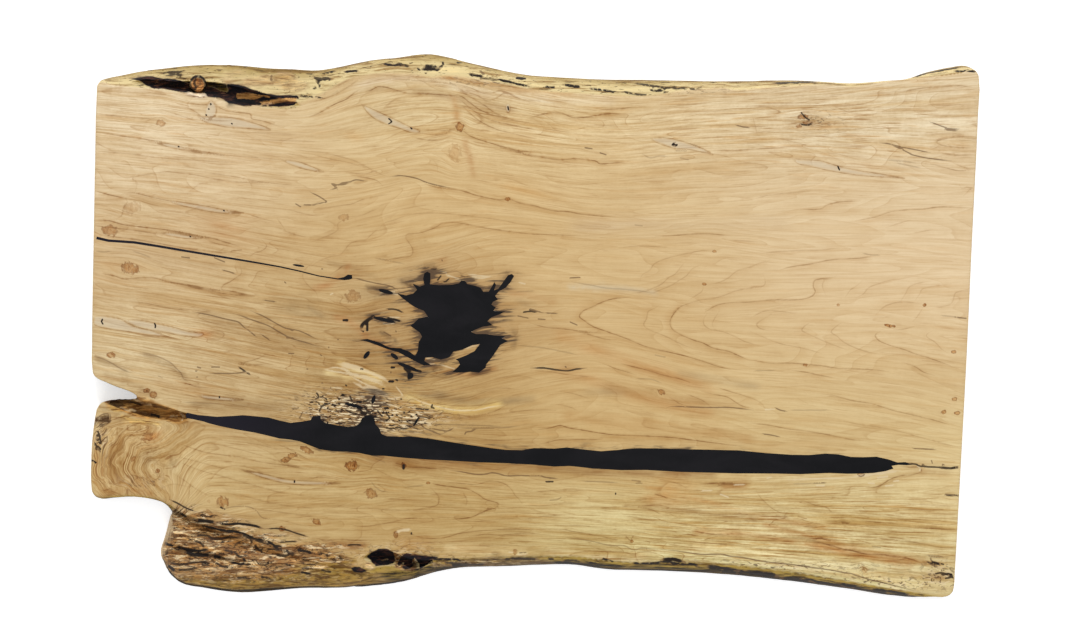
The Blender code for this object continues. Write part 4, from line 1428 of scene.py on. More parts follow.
def inside(places, starts, ends):
    """Whether a ray to the right crosses the outline's edges an odd number of times."""
    result = np.zeros(len(places), bool)
    across, down = (ends - starts).T
    slope = across / np.where(down == 0, TINY, down)
    for first in range(0, len(places), AT_ONCE):
        x, y = places[first:first + AT_ONCE].T[..., None]
        crosses = (starts[:, 1] > y) != (ends[:, 1] > y)
        to_the_left = x < starts[:, 0] + (y - starts[:, 1]) * slope
        result[first:first + AT_ONCE] = (crosses & to_the_left).sum(axis=1) % 2 == 1
    return result


def uncrowded(places, others):
    """The places with none of the others in the same small square or in one of the eight round it."""
    def square(points):
        return np.floor((points - (OUTLINE_LEFT, OUTLINE_TOP)) / CROWDED).astype(int) + 2

    taken = np.zeros(SQUARES, bool)
    column, row = square(others).T
    for shift_x in (-1, 0, 1):
        for shift_y in (-1, 0, 1):
            taken[column + shift_x, row + shift_y] = True
    return places[~taken[tuple(square(places).T)]]


def one_of_each(places, spacing):
    """The places without those that fall in a small square that an earlier one already holds."""
    _, first = np.unique(np.round(places / spacing), axis=0, return_index=True)
    return places[np.sort(first)]


face_starts, face_ends = (pixels(shell_places[face_rim[:, side], :2]) for side in (0, 1))
rim_steps = (face_starts + face_ends) / 2
detail = one_of_each(detail[inside(detail, face_starts, face_ends)], SAME_PLACE)
loose = honeycomb(HONEYCOMB)
loose = uncrowded(loose[inside(loose, face_starts, face_ends)], np.vstack([detail, face_starts, rim_steps]))
face_points = np.vstack([detail, loose])
print(f"{len(detail)} points kept on markings, {len(loose)} between them")

# %% Points for the underside
UNDERSIDE_HONEYCOMB = 14.0
RIM_INSET = 2.0

below_starts, below_ends = (pixels(shell_places[underside_rim[:, side], :2]) for side in (0, 1))
below_edge = below_ends - below_starts
below_side = np.column_stack([-below_edge[:, 1], below_edge[:, 0]]) / np.hypot(*below_edge.T)[:, None]
below_middle = (below_starts + below_ends) / 2
below_rim = np.vstack([below_middle + shift * below_side for shift in (-RIM_INSET, RIM_INSET)])
below_rim = one_of_each(below_rim[inside(below_rim, below_starts, below_ends)], RIM_INSET / 2)
below_points = honeycomb(UNDERSIDE_HONEYCOMB)
below_points = uncrowded(below_points[inside(below_points, below_starts, below_ends)],
                         np.vstack([below_starts, below_rim]))
below_points = np.vstack([below_rim, below_points])
print(f"{len(below_points)} points underneath")

# %% [markdown]
# ## Fill the flat faces
# Blender's constrained Delaunay triangulation joins the points into well shaped triangles and keeps
# every edge of the outline. It fills the holes as well, so triangles whose middle lies outside the
# wood are dropped. The filled face shares the outline's points with the sloping skin, so the slab
# stays closed.

# %% Triangulate and join
def fill_flat(rim, inner_places, height, first_new, upwards):
    """Triangles of a flat face, and its new points: the Delaunay triangulation of the rim and the inner
    places, less the triangles whose middle is outside the rim."""
    rim_corners, edges = np.unique(rim, return_inverse=True)
    edges = edges.reshape(-1, 2)
    flat = np.vstack([shell_places[rim_corners, :2], metres(inner_places)]) * 1000
    numbers = np.concatenate([rim_corners, first_new + np.arange(len(inner_places))])
    joined = delaunay_2d_cdt(list(map(Vector, flat.tolist())), edges.tolist(), [], 0, 1e-6, True)
    corners, triangles, sources = joined[0], np.array(joined[2]), joined[3]
    source = np.array([group[0] if group else -1 for group in sources])
    middles = np.array(corners)[triangles].mean(axis=1)
    kept = inside(middles, flat[edges[:, 0]], flat[edges[:, 1]])
    triangles = numbers[source[triangles[kept]]]
    new_places = np.column_stack([metres(inner_places), np.full(len(inner_places), height)])
    return triangles if upwards else triangles[:, ::-1], new_places


face_triangles, face_places = fill_flat(face_rim, face_points, THICKNESS, len(shell_places), True)
below_triangles, below_places = fill_flat(underside_rim, below_points, 0.0,
                                          len(shell_places) + len(face_points), False)
skin = np.vstack([shell_places, face_places, below_places])
triangles = np.vstack([shell_triangles, face_triangles, below_triangles])
print(f"skin: {len(skin)} points, {len(triangles)} triangles")

# %% [markdown]
# ## Values at the skin's points
# The material can't know where a line runs unless the mesh tells it. So each point carries how far it
# is from the nearest line of each layer, measured in that line's half width: 1 on its middle, 0 at its
# edge and negative outside. Nodes turn that into a crisp line, where painted points would blur.

# %% Distances to the lines
NOTHING_NEAR = -4.0
LINE_REACH = 6.0
SHADE_REACH = 10.0
SHADE_FADE = 3.2
TAPER_LENGTH = 12.0
BLUNT_SHARE = 0.15
LEAST_WIDTH, LEAST_STRENGTH = 0.5, 0.3
SLOPE_HALF_WIDTH = 1.5
UPPER_FROM = 0.3
place = pixels(skin[:, :2])
height = skin[:, 2] / THICKNESS
normals = np.vstack([shell_normals, np.tile((0, 0, 1.0), (len(face_places), 1)),
                     np.tile((0, 0, -1.0), (len(below_places), 1))])
upper_half = height > UPPER_FROM


def smooth_step(value, low, high):
    """0 below low, 1 above high, and 3 t² - 2 t³ between them."""
    t = np.clip((value - low) / (high - low), 0, 1)
    return t * t * (3 - 2 * t)


def measure(curve, reach):
    """The points of the upper skin within reach of a curve, their distance to it, how far along it they
    are from 0 to 1, its length, and their side of it, 1 below and -1 above: all measured to the foot of
    the square on the nearest of its pieces."""
    close = ((place > curve.min(axis=0) - reach) & (place < curve.max(axis=0) + reach)).all(axis=1)
    found = np.flatnonzero(close & upper_half)
    step = np.diff(curve, axis=0)
    length = np.maximum(np.hypot(*step.T), 1e-6)
    offset = place[found][:, None] - curve[:-1]
    share = np.clip((offset * step).sum(axis=-1) / length**2, 0, 1)
    gap = np.hypot(*np.moveaxis(offset - share[..., None] * step, -1, 0))
    nearest = gap.argmin(axis=1)
    line = np.arange(len(found))
    along = (np.cumsum(length) - length)[nearest] + share[line, nearest] * length[nearest]
    turn = (step[:, 0] * offset[..., 1] - step[:, 1] * offset[..., 0])[line, nearest]
    side = np.sign(turn) * (1 if curve[-1, 0] >= curve[0, 0] else -1)
    return found, gap[line, nearest], along / length.sum(), length.sum(), side


layers = {name: np.tile((NOTHING_NEAR, 0.0, 0.0), (len(skin), 1)) for name in ("growth", "ink", "cream")}
for layer, half_width, strength, curve in drawn_lines:
    values = layers[layer]
    found, gap, along, length, side = measure(curve, SHADE_REACH if layer == "growth" else LINE_REACH)
    from_end = np.minimum(along, 1 - along) * length
    taper = TAPER_LENGTH if layer == "growth" else BLUNT_SHARE * length
    fullness = smooth_step(from_end, 0, taper) if length > TAPER_LENGTH else np.ones(len(found))
    half_widths = np.maximum(half_width, np.where(found < len(shell_places), SLOPE_HALF_WIDTH, 0))
    nearness = 1 - gap / (half_widths * (LEAST_WIDTH + (1 - LEAST_WIDTH) * fullness))
    closer = nearness > values[found, 0]
    values[found[closer], 0] = nearness[closer]
    values[found[closer], 1] = (strength * (LEAST_STRENGTH + (1 - LEAST_STRENGTH) * fullness))[closer]
    if layer == "growth":
        fading = np.exp(-gap / SHADE_FADE) * smooth_step(gap, SHADE_REACH, 0.6 * SHADE_REACH)
        shade = strength * fullness * (side > 0) * fading
        values[found, 2] = np.maximum(values[found, 2], shade)
print(", ".join(f"{name}: {(values[:, 0] > 0).sum()} points on it" for name, values in layers.items()))

# %% [markdown]
# ## Inside lenses and knots
# A lens is filled by how far a point is inside its outline. A knot's value falls from 1 at its middle
# to 0 on its rim: 1 less the offset's length, measured in the turned ellipse's own half axes.

# %% Lenses and knots
LENS_RIM = 1.2


def turned(x, y, half_length, half_width, turn):
    """How far each point lies along and across a turned ellipse, in its own half length and width:
    its offset from the middle times the cosine and sine of the turn, both ways."""
    tilt = math.radians(turn)
    offset = (place - (x, y)) * (1, -1)
    return (offset @ (math.cos(tilt), math.sin(tilt)) / half_length,
            offset @ (-math.sin(tilt), math.cos(tilt)) / half_width)


knot_values = np.tile((NOTHING_NEAR, 0.0), (len(skin), 1))
lens_fill = layers["cream"][:, 2]
for outline in lens_outlines:
    found, gap, *_ = measure(outline, 1.0)
    within = inside(place[found], outline[:-1], outline[1:])
    lens_fill[found[within]] = np.maximum(lens_fill[found[within]], np.clip(gap[within] / LENS_RIM, 0, 1))
for *ellipse, strength in knots:
    nearness = np.where(upper_half, 1 - np.hypot(*turned(*ellipse)), NOTHING_NEAR)
    closer = nearness > knot_values[:, 0]
    knot_values[closer, 0] = nearness[closer]
    knot_values[closer, 1] = strength
print(f"{(lens_fill > 0.5).sum()} points in lenses, {(knot_values[:, 0] > 0).sum()} in knots")

# %% [markdown]
# ## Which way the grain runs
# Wood fibres follow the tree. Fifteen guide lines from end to end say how they run, and each point
# gets two grain coordinates: how far along it lies, and how far across in guides. A noise stretched
# along those follows the grain. Round a knot the fibres part, so points near it are drawn towards its
# middle line, and in the lower stem's burl the coordinates turn into rings.

# %% Grain coordinates
GUIDE_X = (80, 200, 300, 360, 430, 500, 600, 700, 800, 900, 990)
GUIDE_Y = [read_numbers(row) for row in rows_of("""
62 58 60 62 54 62 70 74 72 60 54
96 106 112 92 82 94 108 104 100 92 86
128 140 150 153 144 150 160 153 152 160 166
186 196 206 200 186 198 214 214 208 208 206
216 236 256 262 250 232 240 240 250 252 258
270 290 302 304 296 290 292 300 296 296 290
306 322 340 346 336 326 322 326 328 330 336
330 350 370 376 378 360 346 366 374 384 398
358 380 398 404 408 398 384 402 408 424 440
392 408 421 427 438 448 449 450 454 456 462
440 446 455 462 470 475 480 488 486 478 480
496 503 500 498 499 503 506 510 512 516 520
536 541 538 539 538 534 538 545 550 557 562
566 568 566 566 560 560 560 566 576 590 598
600 600 596 592 584 572 572 578 588 602 608
""")]
BURL_CENTRE, BURL_REACH = (152, 464), 84
BURL_TOP, BURL_RIGHT = (412, 428), (128, 214)
# height of the waves in the burl's rings, then the length, width and seed of their patches
BURL_WAVES = [(14, 26, 19, 31), (5, 9, 7, 32)]
PARTED_LENGTH, PARTED_WIDTH, PARTED_AMOUNT = 2.6, 2.2, 0.75
GRAIN_UNIT = 100.0
PATCH_LATTICE = 64


def patchy(places, length, width, seed):
    """Soft random patches from 0 to 1: random values at the corners of a lattice of cells, blended
    across each cell by 3 t² - 2 t³ both ways."""
    lattice = np.random.default_rng(seed).random((PATCH_LATTICE, PATCH_LATTICE))
    cell = places / (length, width)
    corner = np.floor(cell).astype(int)
    t = cell - corner
    t = t * t * (3 - 2 * t)
    (x0, y0), (x1, y1) = (corner % PATCH_LATTICE).T, ((corner + 1) % PATCH_LATTICE).T
    upper = lattice[x0, y0] * (1 - t[:, 0]) + lattice[x1, y0] * t[:, 0]
    lower = lattice[x0, y1] * (1 - t[:, 0]) + lattice[x1, y1] * t[:, 0]
    return upper * (1 - t[:, 1]) + lower * t[:, 1]


guide_curves = [smooth_curve(np.column_stack([GUIDE_X, row])) for row in GUIDE_Y]
parted = place.copy()
for x, y, half_length, half_width, *_ in knots:
    offset = parted - (x, y)
    pull = np.exp(-(offset[:, 0] / (PARTED_LENGTH * half_length))**2
                  - (offset[:, 1] / (PARTED_WIDTH * half_width))**2)
    parted[:, 1] -= PARTED_AMOUNT * pull * offset[:, 1]
guide_heights = np.array([np.interp(parted[:, 0], curve[:, 0], curve[:, 1]) for curve in guide_curves])
nominal = np.mean(GUIDE_Y, axis=1)
band = np.clip((guide_heights < parted[:, 1]).sum(axis=0) - 1, 0, len(GUIDE_Y) - 2)
line = np.arange(len(skin))
above, below = guide_heights[band, line], guide_heights[band + 1, line]
across = nominal[band] + (parted[:, 1] - above) / (below - above) * (nominal[band + 1] - nominal[band])
along = parted[:, 0].copy()
burl_offset = (place - BURL_CENTRE) * (1.0, 1.25)
burl_radius = np.hypot(*burl_offset.T)
for height_of_waves, length, width, seed in BURL_WAVES:
    burl_radius += height_of_waves * (patchy(place, length, width, seed) - 0.5)
burled = (1 - smooth_step(burl_radius, 0.5 * BURL_REACH, BURL_REACH)) * smooth_step(place[:, 1], *BURL_TOP)
burled *= 1 - smooth_step(place[:, 0], *BURL_RIGHT)
across = across * (1 - burled) + (BURL_CENTRE[1] - burl_radius) * burled
flow = np.column_stack([along, across, np.zeros(len(skin))]) / GRAIN_UNIT
print(f"grain runs {along.min():.0f} to {along.max():.0f} along "
      f"and {across.min():.0f} to {across.max():.0f} across")

# %% [markdown]
# ## Lay the colours on
# Colours are mixed as light, so values out of 255 are first taken back through the sRGB curve. The
# tones come first, then bands, clouds and clear cut areas, each worn at its edges by a patchy noise,
# as stains in wood are.

# %% Lay on tones, bands and clouds
TONE_STRETCH = 1.5
LEAST_WEIGHT = 1e-6


def as_light(colour):
    """Red, green and blue out of 255 to linear light: ((c + 0.055) / 1.055) to the power 2.4."""
    return ((np.asarray(colour) / 255 + 0.055) / 1.055)**2.4


def lay_on(amount, colour):
    """Blends a colour over the tone: tone (1 - amount) + colour amount."""
    global tone
    amount = np.clip(amount, 0, 1)[:, None]
    tone = tone * (1 - amount) + as_light(colour) * amount


grain_place = flow[:, :2] * GRAIN_UNIT
weights = np.array([np.exp(-(((place - (x, y)) / (TONE_STRETCH * reach, reach))**2).sum(axis=1))
                    for x, y, reach, *_ in tones]) + LEAST_WEIGHT
lights = [[as_light(colour)] for _, _, _, *colour in tones]
tone = (weights[..., None] * lights).sum(axis=0) / weights.sum(axis=0)[:, None]
ragged = smooth_step(0.5 * patchy(grain_place, 34, 5, 7) + 0.5 * patchy(grain_place, 17, 3.4, 8), 0.2, 0.8)
for half_width, amount, colour, points in stain_bands:
    found, gap, along_band, length, _ = measure(smooth_curve(points), 3 * half_width)
    cover = np.zeros(len(skin))
    ends = smooth_step(np.minimum(along_band, 1 - along_band) * length, 0, 2.5 * half_width)
    cover[found] = amount * ends * np.exp(-(gap / half_width)**2) * (0.55 + 0.9 * ragged[found])
    lay_on(cover, colour)
for x, y, half_length, half_width, turn, amount, *colour in stain_clouds:
    along_cloud, across_cloud = turned(x, y, half_length, half_width, turn)
    cover = amount * np.exp(-along_cloud**2 - across_cloud**2) * (0.4 + 1.2 * ragged)
    lay_on(np.where(upper_half, cover, 0), colour)
print(f"tone laid on {len(tones)} soft areas, {len(stain_bands)} bands and {len(stain_clouds)} clouds")

# %% [markdown]
# ## Live edges, sawn ends and hollows
# The mesh says which part of the slab a point is on: a slope is anything below the flat face, and a
# sawn end where it faces along the slab. The areas with a clear edge are laid on last.

# %% Find the live edges, sawn ends and hollows
EDGE_FADE = 0.06
SPALTED = ("150,508 176,503 200,512 225,520 250,527 280,534 312,541 340,548 350,553 336,560 318,568 "
           "290,575 262,577 225,578 185,575 150,560")
SPALT_FADE, SPALT_FRAY = 7.0, 1.6
AREA_FRAY = 3.0
DARK_ENOUGH = 50

depth = 1 - height
on_slope = np.zeros(len(skin), bool)
on_slope[:len(shell_places)] = True
# which way each point faces: towards the far lamps a live edge gets painted light, away from them painted
# shade
facing_the_light = smooth_step(normals[:, 1], -0.35, 0.35)


def cover_of(corners, softness, fray):
    """How far each point lies within an outline, from 0 to 1: its distance to the edge, less when it is
    outside, moved to and fro by the ragged patches, and climbed smoothly over twice the softness."""
    outline = closed(corners)
    found, gap, *_ = measure(outline, 3 * softness + fray)
    within = inside(place[found], outline[:-1], outline[1:])
    signed = np.where(within, gap, -gap) + fray * softness * (ragged[found] - 0.5)
    cover = np.zeros(len(skin))
    cover[found] = smooth_step(signed, -softness, softness)
    return cover


spalted = cover_of(read_points(SPALTED), SPALT_FADE, SPALT_FRAY)
sloping = np.where(on_slope, smooth_step(depth, 0.0, EDGE_FADE), 0)
sloping *= 1 - spalted * smooth_step(normals[:, 2], 0.45, 0.7)
sawn = np.where(on_slope, smooth_step(np.abs(normals[:, 0]), 0.86, 0.97), 0) * (sloping > 0)
painted, dark_hollow = np.zeros(len(skin)), np.zeros(len(skin))
for softness, amount, colour, corners in areas:
    cover = amount * cover_of(corners, softness, AREA_FRAY)
    lay_on(cover, colour)
    painted = np.maximum(painted, cover)
    if max(colour) < DARK_ENOUGH:
        dark_hollow = np.maximum(dark_hollow, cover)
    else:
        dark_hollow *= 1 - cover
print(f"{int((sloping > 0.5).sum())} points on live edges, {int((sawn > 0.5).sum())} on sawn ends")

# %% [markdown]
# ## Lively, speckled and smoky wood
# Sound wood from the middle of the trunk is calm. Near the crotch and the bark its lines crowd and the
# beetles left specks, and the rotted hole is fringed with smoke coloured stain. Each of the three is
# one number at every point.

# %% Where the wood is lively, speckled or smoky
CALM = 0.42
# x, y, half length, half width, amount
LIVELY = rows_of("""
130,110 110,45 0.6
160,200 130,60 0.35
200,340 150,70 0.7
480,110 140,40 0.6
820,120 190,42 1
300,480 260,60 0.45
800,535 240,50 1.5
125,455 60,45 1.1
370,400 90,50 0.9
600,560 120,20 0.5
560,165 120,50 0.2
860,260 140,60 -0.09
700,330 110,45 -0.08
420,310 90,60 0.4
""")
SPECKLED = rows_of("""
358,411 50,13 1.4
400,420 40,10 1.2
328,408 26,16 0.9
100,440 8,20 0.8
430,69 22,5 1
395,556 40,12 0.6
820,121 22,9 0.4
310,82 26,10 0.5
450,562 70,5 0.8
720,567 130,6 0.7
870,583 90,6 0.7
940,572 18,12 0.5
145,482 26,8 0.4
510,81 60,5 0.6
650,90 70,4 0.6
240,577 100,7 0.5
""")
SMOKY = rows_of("""
440,320 90,62 1.1
370,405 60,26 0.9
560,450 420,40 0.42
402,322 24,30 -0.5
466,354 26,9 -0.5
432,272 16,10 0.3
""")
SMOKE_REACH = 8.0
SMOKE_STRETCH = 1.9
RIM_HEIGHT = 0.98


def spots(table, start):
    """A start value plus a soft spot for each row: amount e to the power of minus the squared distance,
    measured in the row's half length and half width."""
    total = np.full(len(skin), float(start))
    for x, y, half_length, half_width, amount in map(read_numbers, table):
        total += amount * np.exp(-(((place - (x, y)) / (half_length, half_width))**2).sum(axis=1))
    return total


lively = spots(LIVELY, CALM)
speckled = spots(SPECKLED, 0) * upper_half
resin_points = [point.co for name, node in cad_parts.items() if name.startswith("resin_")
                for point in node.data.vertices]
resin_rim = np.array([point[:2] for point in resin_points
                      if point.z > RIM_HEIGHT * THICKNESS])
resin_rim = one_of_each(pixels(resin_rim), 1.0)
smoke = np.zeros(len(skin))
near_resin = np.flatnonzero(upper_half & ((place[:, 0] > 300) & (place[:, 0] < 600) | (place[:, 1] > 380)))
for first in range(0, len(near_resin), AT_ONCE):
    some = near_resin[first:first + AT_ONCE]
    gaps = (place[some][:, None] - resin_rim) / (SMOKE_STRETCH, 1.0)
    smoke[some] = np.exp(-np.sqrt((gaps**2).sum(axis=-1).min(axis=1)) / SMOKE_REACH)
smoke *= np.clip(spots(SMOKY, 0), 0, 1)
print(f"lively {lively.min():.2f} to {lively.max():.2f}, "
      f"{(smoke > 0.3).sum()} smoky points by {len(resin_rim)} rim points")

# %% [markdown]
# ## Relief of the live edges
# Under the bark a maple is rippled along its length, and a rotted pocket is rough. Every point of a
# slope goes inwards, never outwards, by a patchy depth. Drying checks are pressed into the face along
# their traced lines. The CAD resin stands 0.3 mm clear of the wood, and the pale floor would shine
# through that gap, so the walls round it close it.

# %% Press the relief in
RIPPLE_DEPTH = 0.0009
POCKET_DEPTH = 0.0016
CHECK_DEPTH = 0.0009
RESIN_REACH = 1.0
CAD_GAP = 0.00029

ripples = 0.6 * patchy(place, 16, 5, 21) + 0.4 * patchy(place, 7, 3, 22)
pocket_grit = patchy(place, 3.2, 2.6, 23)
settled = on_slope & (depth > 0.01) & (height > 0.02) & (np.abs(normals[:, 2]) > 0.05) & (sawn < 0.2)
press = np.where(settled, RIPPLE_DEPTH * ripples + POCKET_DEPTH * pocket_grit * dark_hollow, 0)
press *= smooth_step(depth, 0.01, 0.06)
skin = skin - normals * press[:, None]
walls = np.flatnonzero(on_slope & (np.abs(normals[:, 2]) < 0.1))
resin_gap = np.hypot(*np.moveaxis(place[walls][:, None] - resin_rim, -1, 0)).min(axis=1)
by_resin = walls[resin_gap < RESIN_REACH]
skin[by_resin] += normals[by_resin] * CAD_GAP
for curve in checks:
    found, gap, *_ = measure(curve, 3.0)
    flat_here = ~on_slope[found]
    skin[found[flat_here], 2] -= (CHECK_DEPTH * np.clip(1 - gap / 1.2, 0, 1))[flat_here]
print(f"relief up to {press.max() * 1000:.2f} mm on {int(settled.sum())} points, {len(checks)} checks, "
      f"{len(by_resin)} wall points moved up to the resin")

# %% [markdown]
# ## The mesh and what it carries
# Each set of values becomes a named attribute of the mesh, three numbers a point, which Attribute
# nodes read by name. The piece then stands for the CAD slab.

# %% Make the slab's mesh
SHARP_ANGLE = math.radians(40)


def carry(name, values, kind="FLOAT_VECTOR", field="vector"):
    """Stores one value for each point of the slab under a name that a material can read."""
    attribute = slab_mesh.attributes.new(name, kind, "POINT")
    attribute.data.foreach_set(field, values.astype(np.float32).ravel())


slab_mesh = bpy.data.meshes.new("live_edge_slab")
slab_mesh.from_pydata(skin.tolist(), [], triangles.tolist())
slab_mesh.shade_smooth()
slab_mesh.set_sharp_from_angle(angle=SHARP_ANGLE)
carry("tone", np.column_stack([tone, np.ones(len(skin))]), "FLOAT_COLOR", "color")
carry("flow", flow)
for name, values in layers.items():
    carry(name, values)
carry("knot", np.column_stack([knot_values, dark_hollow]))
carry("zone", np.column_stack([sloping * (1 - sawn), sawn, painted]))
# the share facing the light carries the live edges' painted light and shade to the material
carry("edge", np.column_stack([facing_the_light, spalted, burled]))
carry("mood", np.column_stack([lively, speckled, smoke]))
slab = bpy.data.objects.new("live_edge_slab", slab_mesh)
bpy.context.collection.objects.link(slab)
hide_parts("maple_slab")
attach(slab, "root")
print(f"slab: {len(slab_mesh.vertices)} points, {len(slab_mesh.polygons)} triangles, "
      f"box {np.round(np.ptp(skin, axis=0), 4).tolist()} m")

# %% [markdown]
# ## A bench for mixing finishes
# A node material is a chain of small steps. A small class keeps it short: each method adds a node or
# two and gives back the output, so a finish reads like the sentence that describes it. Two methods
# change the colour that is being mixed: lay covers it with another, and stain multiplies it by a tint.

# %% The bench
class Finish:
    """A material being mixed. Its methods add nodes and return the last one's output socket."""

    def __init__(self, name):
        self.material = bpy.data.materials.new(name)
        self.material.use_nodes = True
        self.tree = self.material.node_tree
        self.shader = self.tree.nodes["Principled BSDF"]
        self.colour = None

    def node(self, kind, inputs=(), output=0, **settings):
        """Adds a node, sets it, and feeds its inputs by number or name with a socket or a value."""
        node = self.tree.nodes.new("ShaderNode" + kind)
        for key, value in settings.items():
            setattr(node, key, value)
        for key, value in dict(inputs).items():
            self.feed(node.inputs[key], value)
        return node.outputs[output]

    def feed(self, socket, value):
        """Links a socket to another one, or sets its value, which is red, green and blue for a colour."""
        if isinstance(value, bpy.types.NodeSocket):
            self.tree.links.new(value, socket)
        else:
            socket.default_value = (*value, 1) if socket.type == "RGBA" else value

    def split(self, vector):
        """The three numbers of a vector."""
        return tuple(self.node("SeparateXYZ", {0: vector}).node.outputs)

    def carried(self, name):
        """The three numbers that the mesh carries under a name."""
        return self.split(self.node("Attribute", output="Vector", attribute_name=name))

    def sum(self, how, first, second=0.0, third=0.0):
        """One step of arithmetic on numbers."""
        return self.node("Math", {0: first, 1: second, 2: third}, operation=how)

    def times(self, *factors):
        """The product of several numbers."""
        product = factors[0]
        for factor in factors[1:]:
            product = self.sum("MULTIPLY", product, factor)
        return product

    def swayed(self, value, pattern, amount):
        """A value moved to and fro by a noise: value + (pattern - 0.5) times amount."""
        return self.sum("MULTIPLY_ADD", self.sum("SUBTRACT", pattern, 0.5), amount, value)

    def step_of(self, value, count):
        """How far a value is through its step, from 0 to 1: what value times count has past its point."""
        return self.sum("FRACT", self.times(value, count))

    def away(self, value, middle):
        """How far a value is from a middle one, either way."""
        return self.sum("ABSOLUTE", self.sum("SUBTRACT", value, middle))

    def noise(self, vector, factors, detail=2.0, roughness=0.5, distortion=0.0):
        """Cloudy noise from 0 to 1 on a vector times its factors. A large factor makes small clouds."""
        scaled = self.node("VectorMath", {0: vector, 1: factors}, operation="MULTIPLY")
        return self.node("TexNoise", {"Vector": scaled, "Scale": 1.0, "Detail": detail,
                                      "Roughness": roughness, "Distortion": distortion}, "Fac")

    def ramp(self, value, low, high, start=0.0, end=1.0):
        """A smooth climb from start to end while a value goes from low to high."""
        return self.node("MapRange", {"Value": value, "From Min": low, "From Max": high, "To Min": start,
                                      "To Max": end}, interpolation_type="SMOOTHSTEP")

    def blend(self, amount, under, over, how="MIX"):
        """One colour laid over another by an amount."""
        return self.node("Mix", {0: amount, 6: under, 7: over}, 2, data_type="RGBA", blend_type=how)

    def lay(self, amount, over):
        """Lays a colour over the one that is being mixed."""
        self.colour = self.blend(amount, self.colour, over)

    def stain(self, amount, tint):
        """Multiplies the colour that is being mixed by a tint."""
        self.colour = self.blend(amount, self.colour, tint, "MULTIPLY")

    def finished(self, roughness, mirroring):
        """The material, once its colour, its roughness and how strongly it mirrors are fed to the shader."""
        self.feed(self.shader.inputs["Base Color"], self.colour)
        self.feed(self.shader.inputs["Roughness"], roughness)
        self.feed(self.shader.inputs["Specular IOR Level"], mirroring)
        return self.material


print("bench ready")

# %% [markdown]
# ## Oiled maple
# The finish starts from the tone that the skin carries. Fibres, mottle and smoky bands are noise in
# grain coordinates, many times longer than wide, and each stains the tone a little, more so where the
# wood is lively.

# %% Mix the oiled maple
maple = Finish("oiled_maple")
maple.colour = maple.node("Attribute", output="Color", attribute_name="tone")
grain = maple.node("Attribute", output="Vector", attribute_name="flow")
on_object = maple.node("TexCoord", output="Object")
slope_zone, sawn_zone, painted_zone = maple.carried("zone")
edge_facing_the_light, spalt_zone, burl_zone = maple.carried("edge")
lively_zone, speck_zone, smoke_zone = maple.carried("mood")
growth_near, growth_strength, growth_shade = maple.carried("growth")
ink_near, ink_strength, _ = maple.carried("ink")
cream_near, cream_strength, lens_inside = maple.carried("cream")
knot_near, knot_strength, hollow_zone = maple.carried("knot")

fibres = maple.noise(grain, (3.0, 60, 1), 3, 0.6, 0.25)
long_fibres = maple.noise(grain, (0.9, 30, 1), 2, 0.55, 0.3)
bands = maple.noise(grain, (0.7, 9, 1), 3, 0.6, 0.6)
broad = maple.noise(grain, (0.45, 2.6, 1), 3, 0.55, 0.6)
flecks = maple.noise(grain, (14, 84, 1), 1, 0.5)
hairs = maple.noise(grain, (2.4, 78, 1), 2, 0.6, 0.5)
tan_streaks = maple.noise(grain, (1.4, 22, 1), 3, 0.62, 0.6)
figure = maple.noise(grain, (4.2, 3.4, 1), 3, 0.6, 0.8)
mottle = maple.noise(grain, (30, 40, 1), 2, 0.6)
waver = maple.noise(grain, (13, 26, 1), 3, 0.65)
breaks = maple.noise(grain, (6, 9, 1), 3, 0.6)

maple.stain(maple.ramp(lively_zone, 0.45, 1.2), (1.09, 1.15, 1.23))
# noise, where it starts and ends to show, amount, tint
for pattern, low, high, amount, tint in [
        (bands, 0.45, 0.7, 0.62, (0.84, 0.72, 0.54)), (bands, 0.5, 0.28, 0.42, (1.1, 1.11, 1.15)),
        (broad, 0.38, 0.66, 0.6, (0.88, 0.83, 0.76)), (long_fibres, 0.45, 0.7, 0.6, (0.8, 0.69, 0.54)),
        (long_fibres, 0.5, 0.3, 0.4, (1.12, 1.13, 1.16)), (fibres, 0.44, 0.7, 0.55, (0.76, 0.66, 0.53)),
        (fibres, 0.48, 0.28, 0.4, (1.14, 1.14, 1.16)), (flecks, 0.62, 0.82, 0.45, (0.6, 0.48, 0.36)),
        (hairs, 0.585, 0.64, 0.5, (0.56, 0.38, 0.22)), (tan_streaks, 0.56, 0.68, 0.42, (0.84, 0.64, 0.4)),
        (figure, 0.35, 0.68, 0.34, (0.84, 0.79, 0.72)), (mottle, 0.3, 0.7, 0.34, (0.84, 0.8, 0.74))]:
    maple.stain(maple.times(maple.ramp(pattern, low, high, 0, amount), lively_zone), tint)
print(f"maple's ground: {len(maple.tree.nodes)} nodes")

# %% [markdown]
# ## Year rings as height lines
# Faint year rings come from one smooth noise counted in steps, like the height lines of a map: where
# it is flat they open into the arches of a plain sawn board. Each step darkens slowly and ends in a
# thin line. The burl has finer, twisted ones.

# %% Draw the year rings
RING_COUNT = 15.0
BURL_RING_COUNT = 8.0

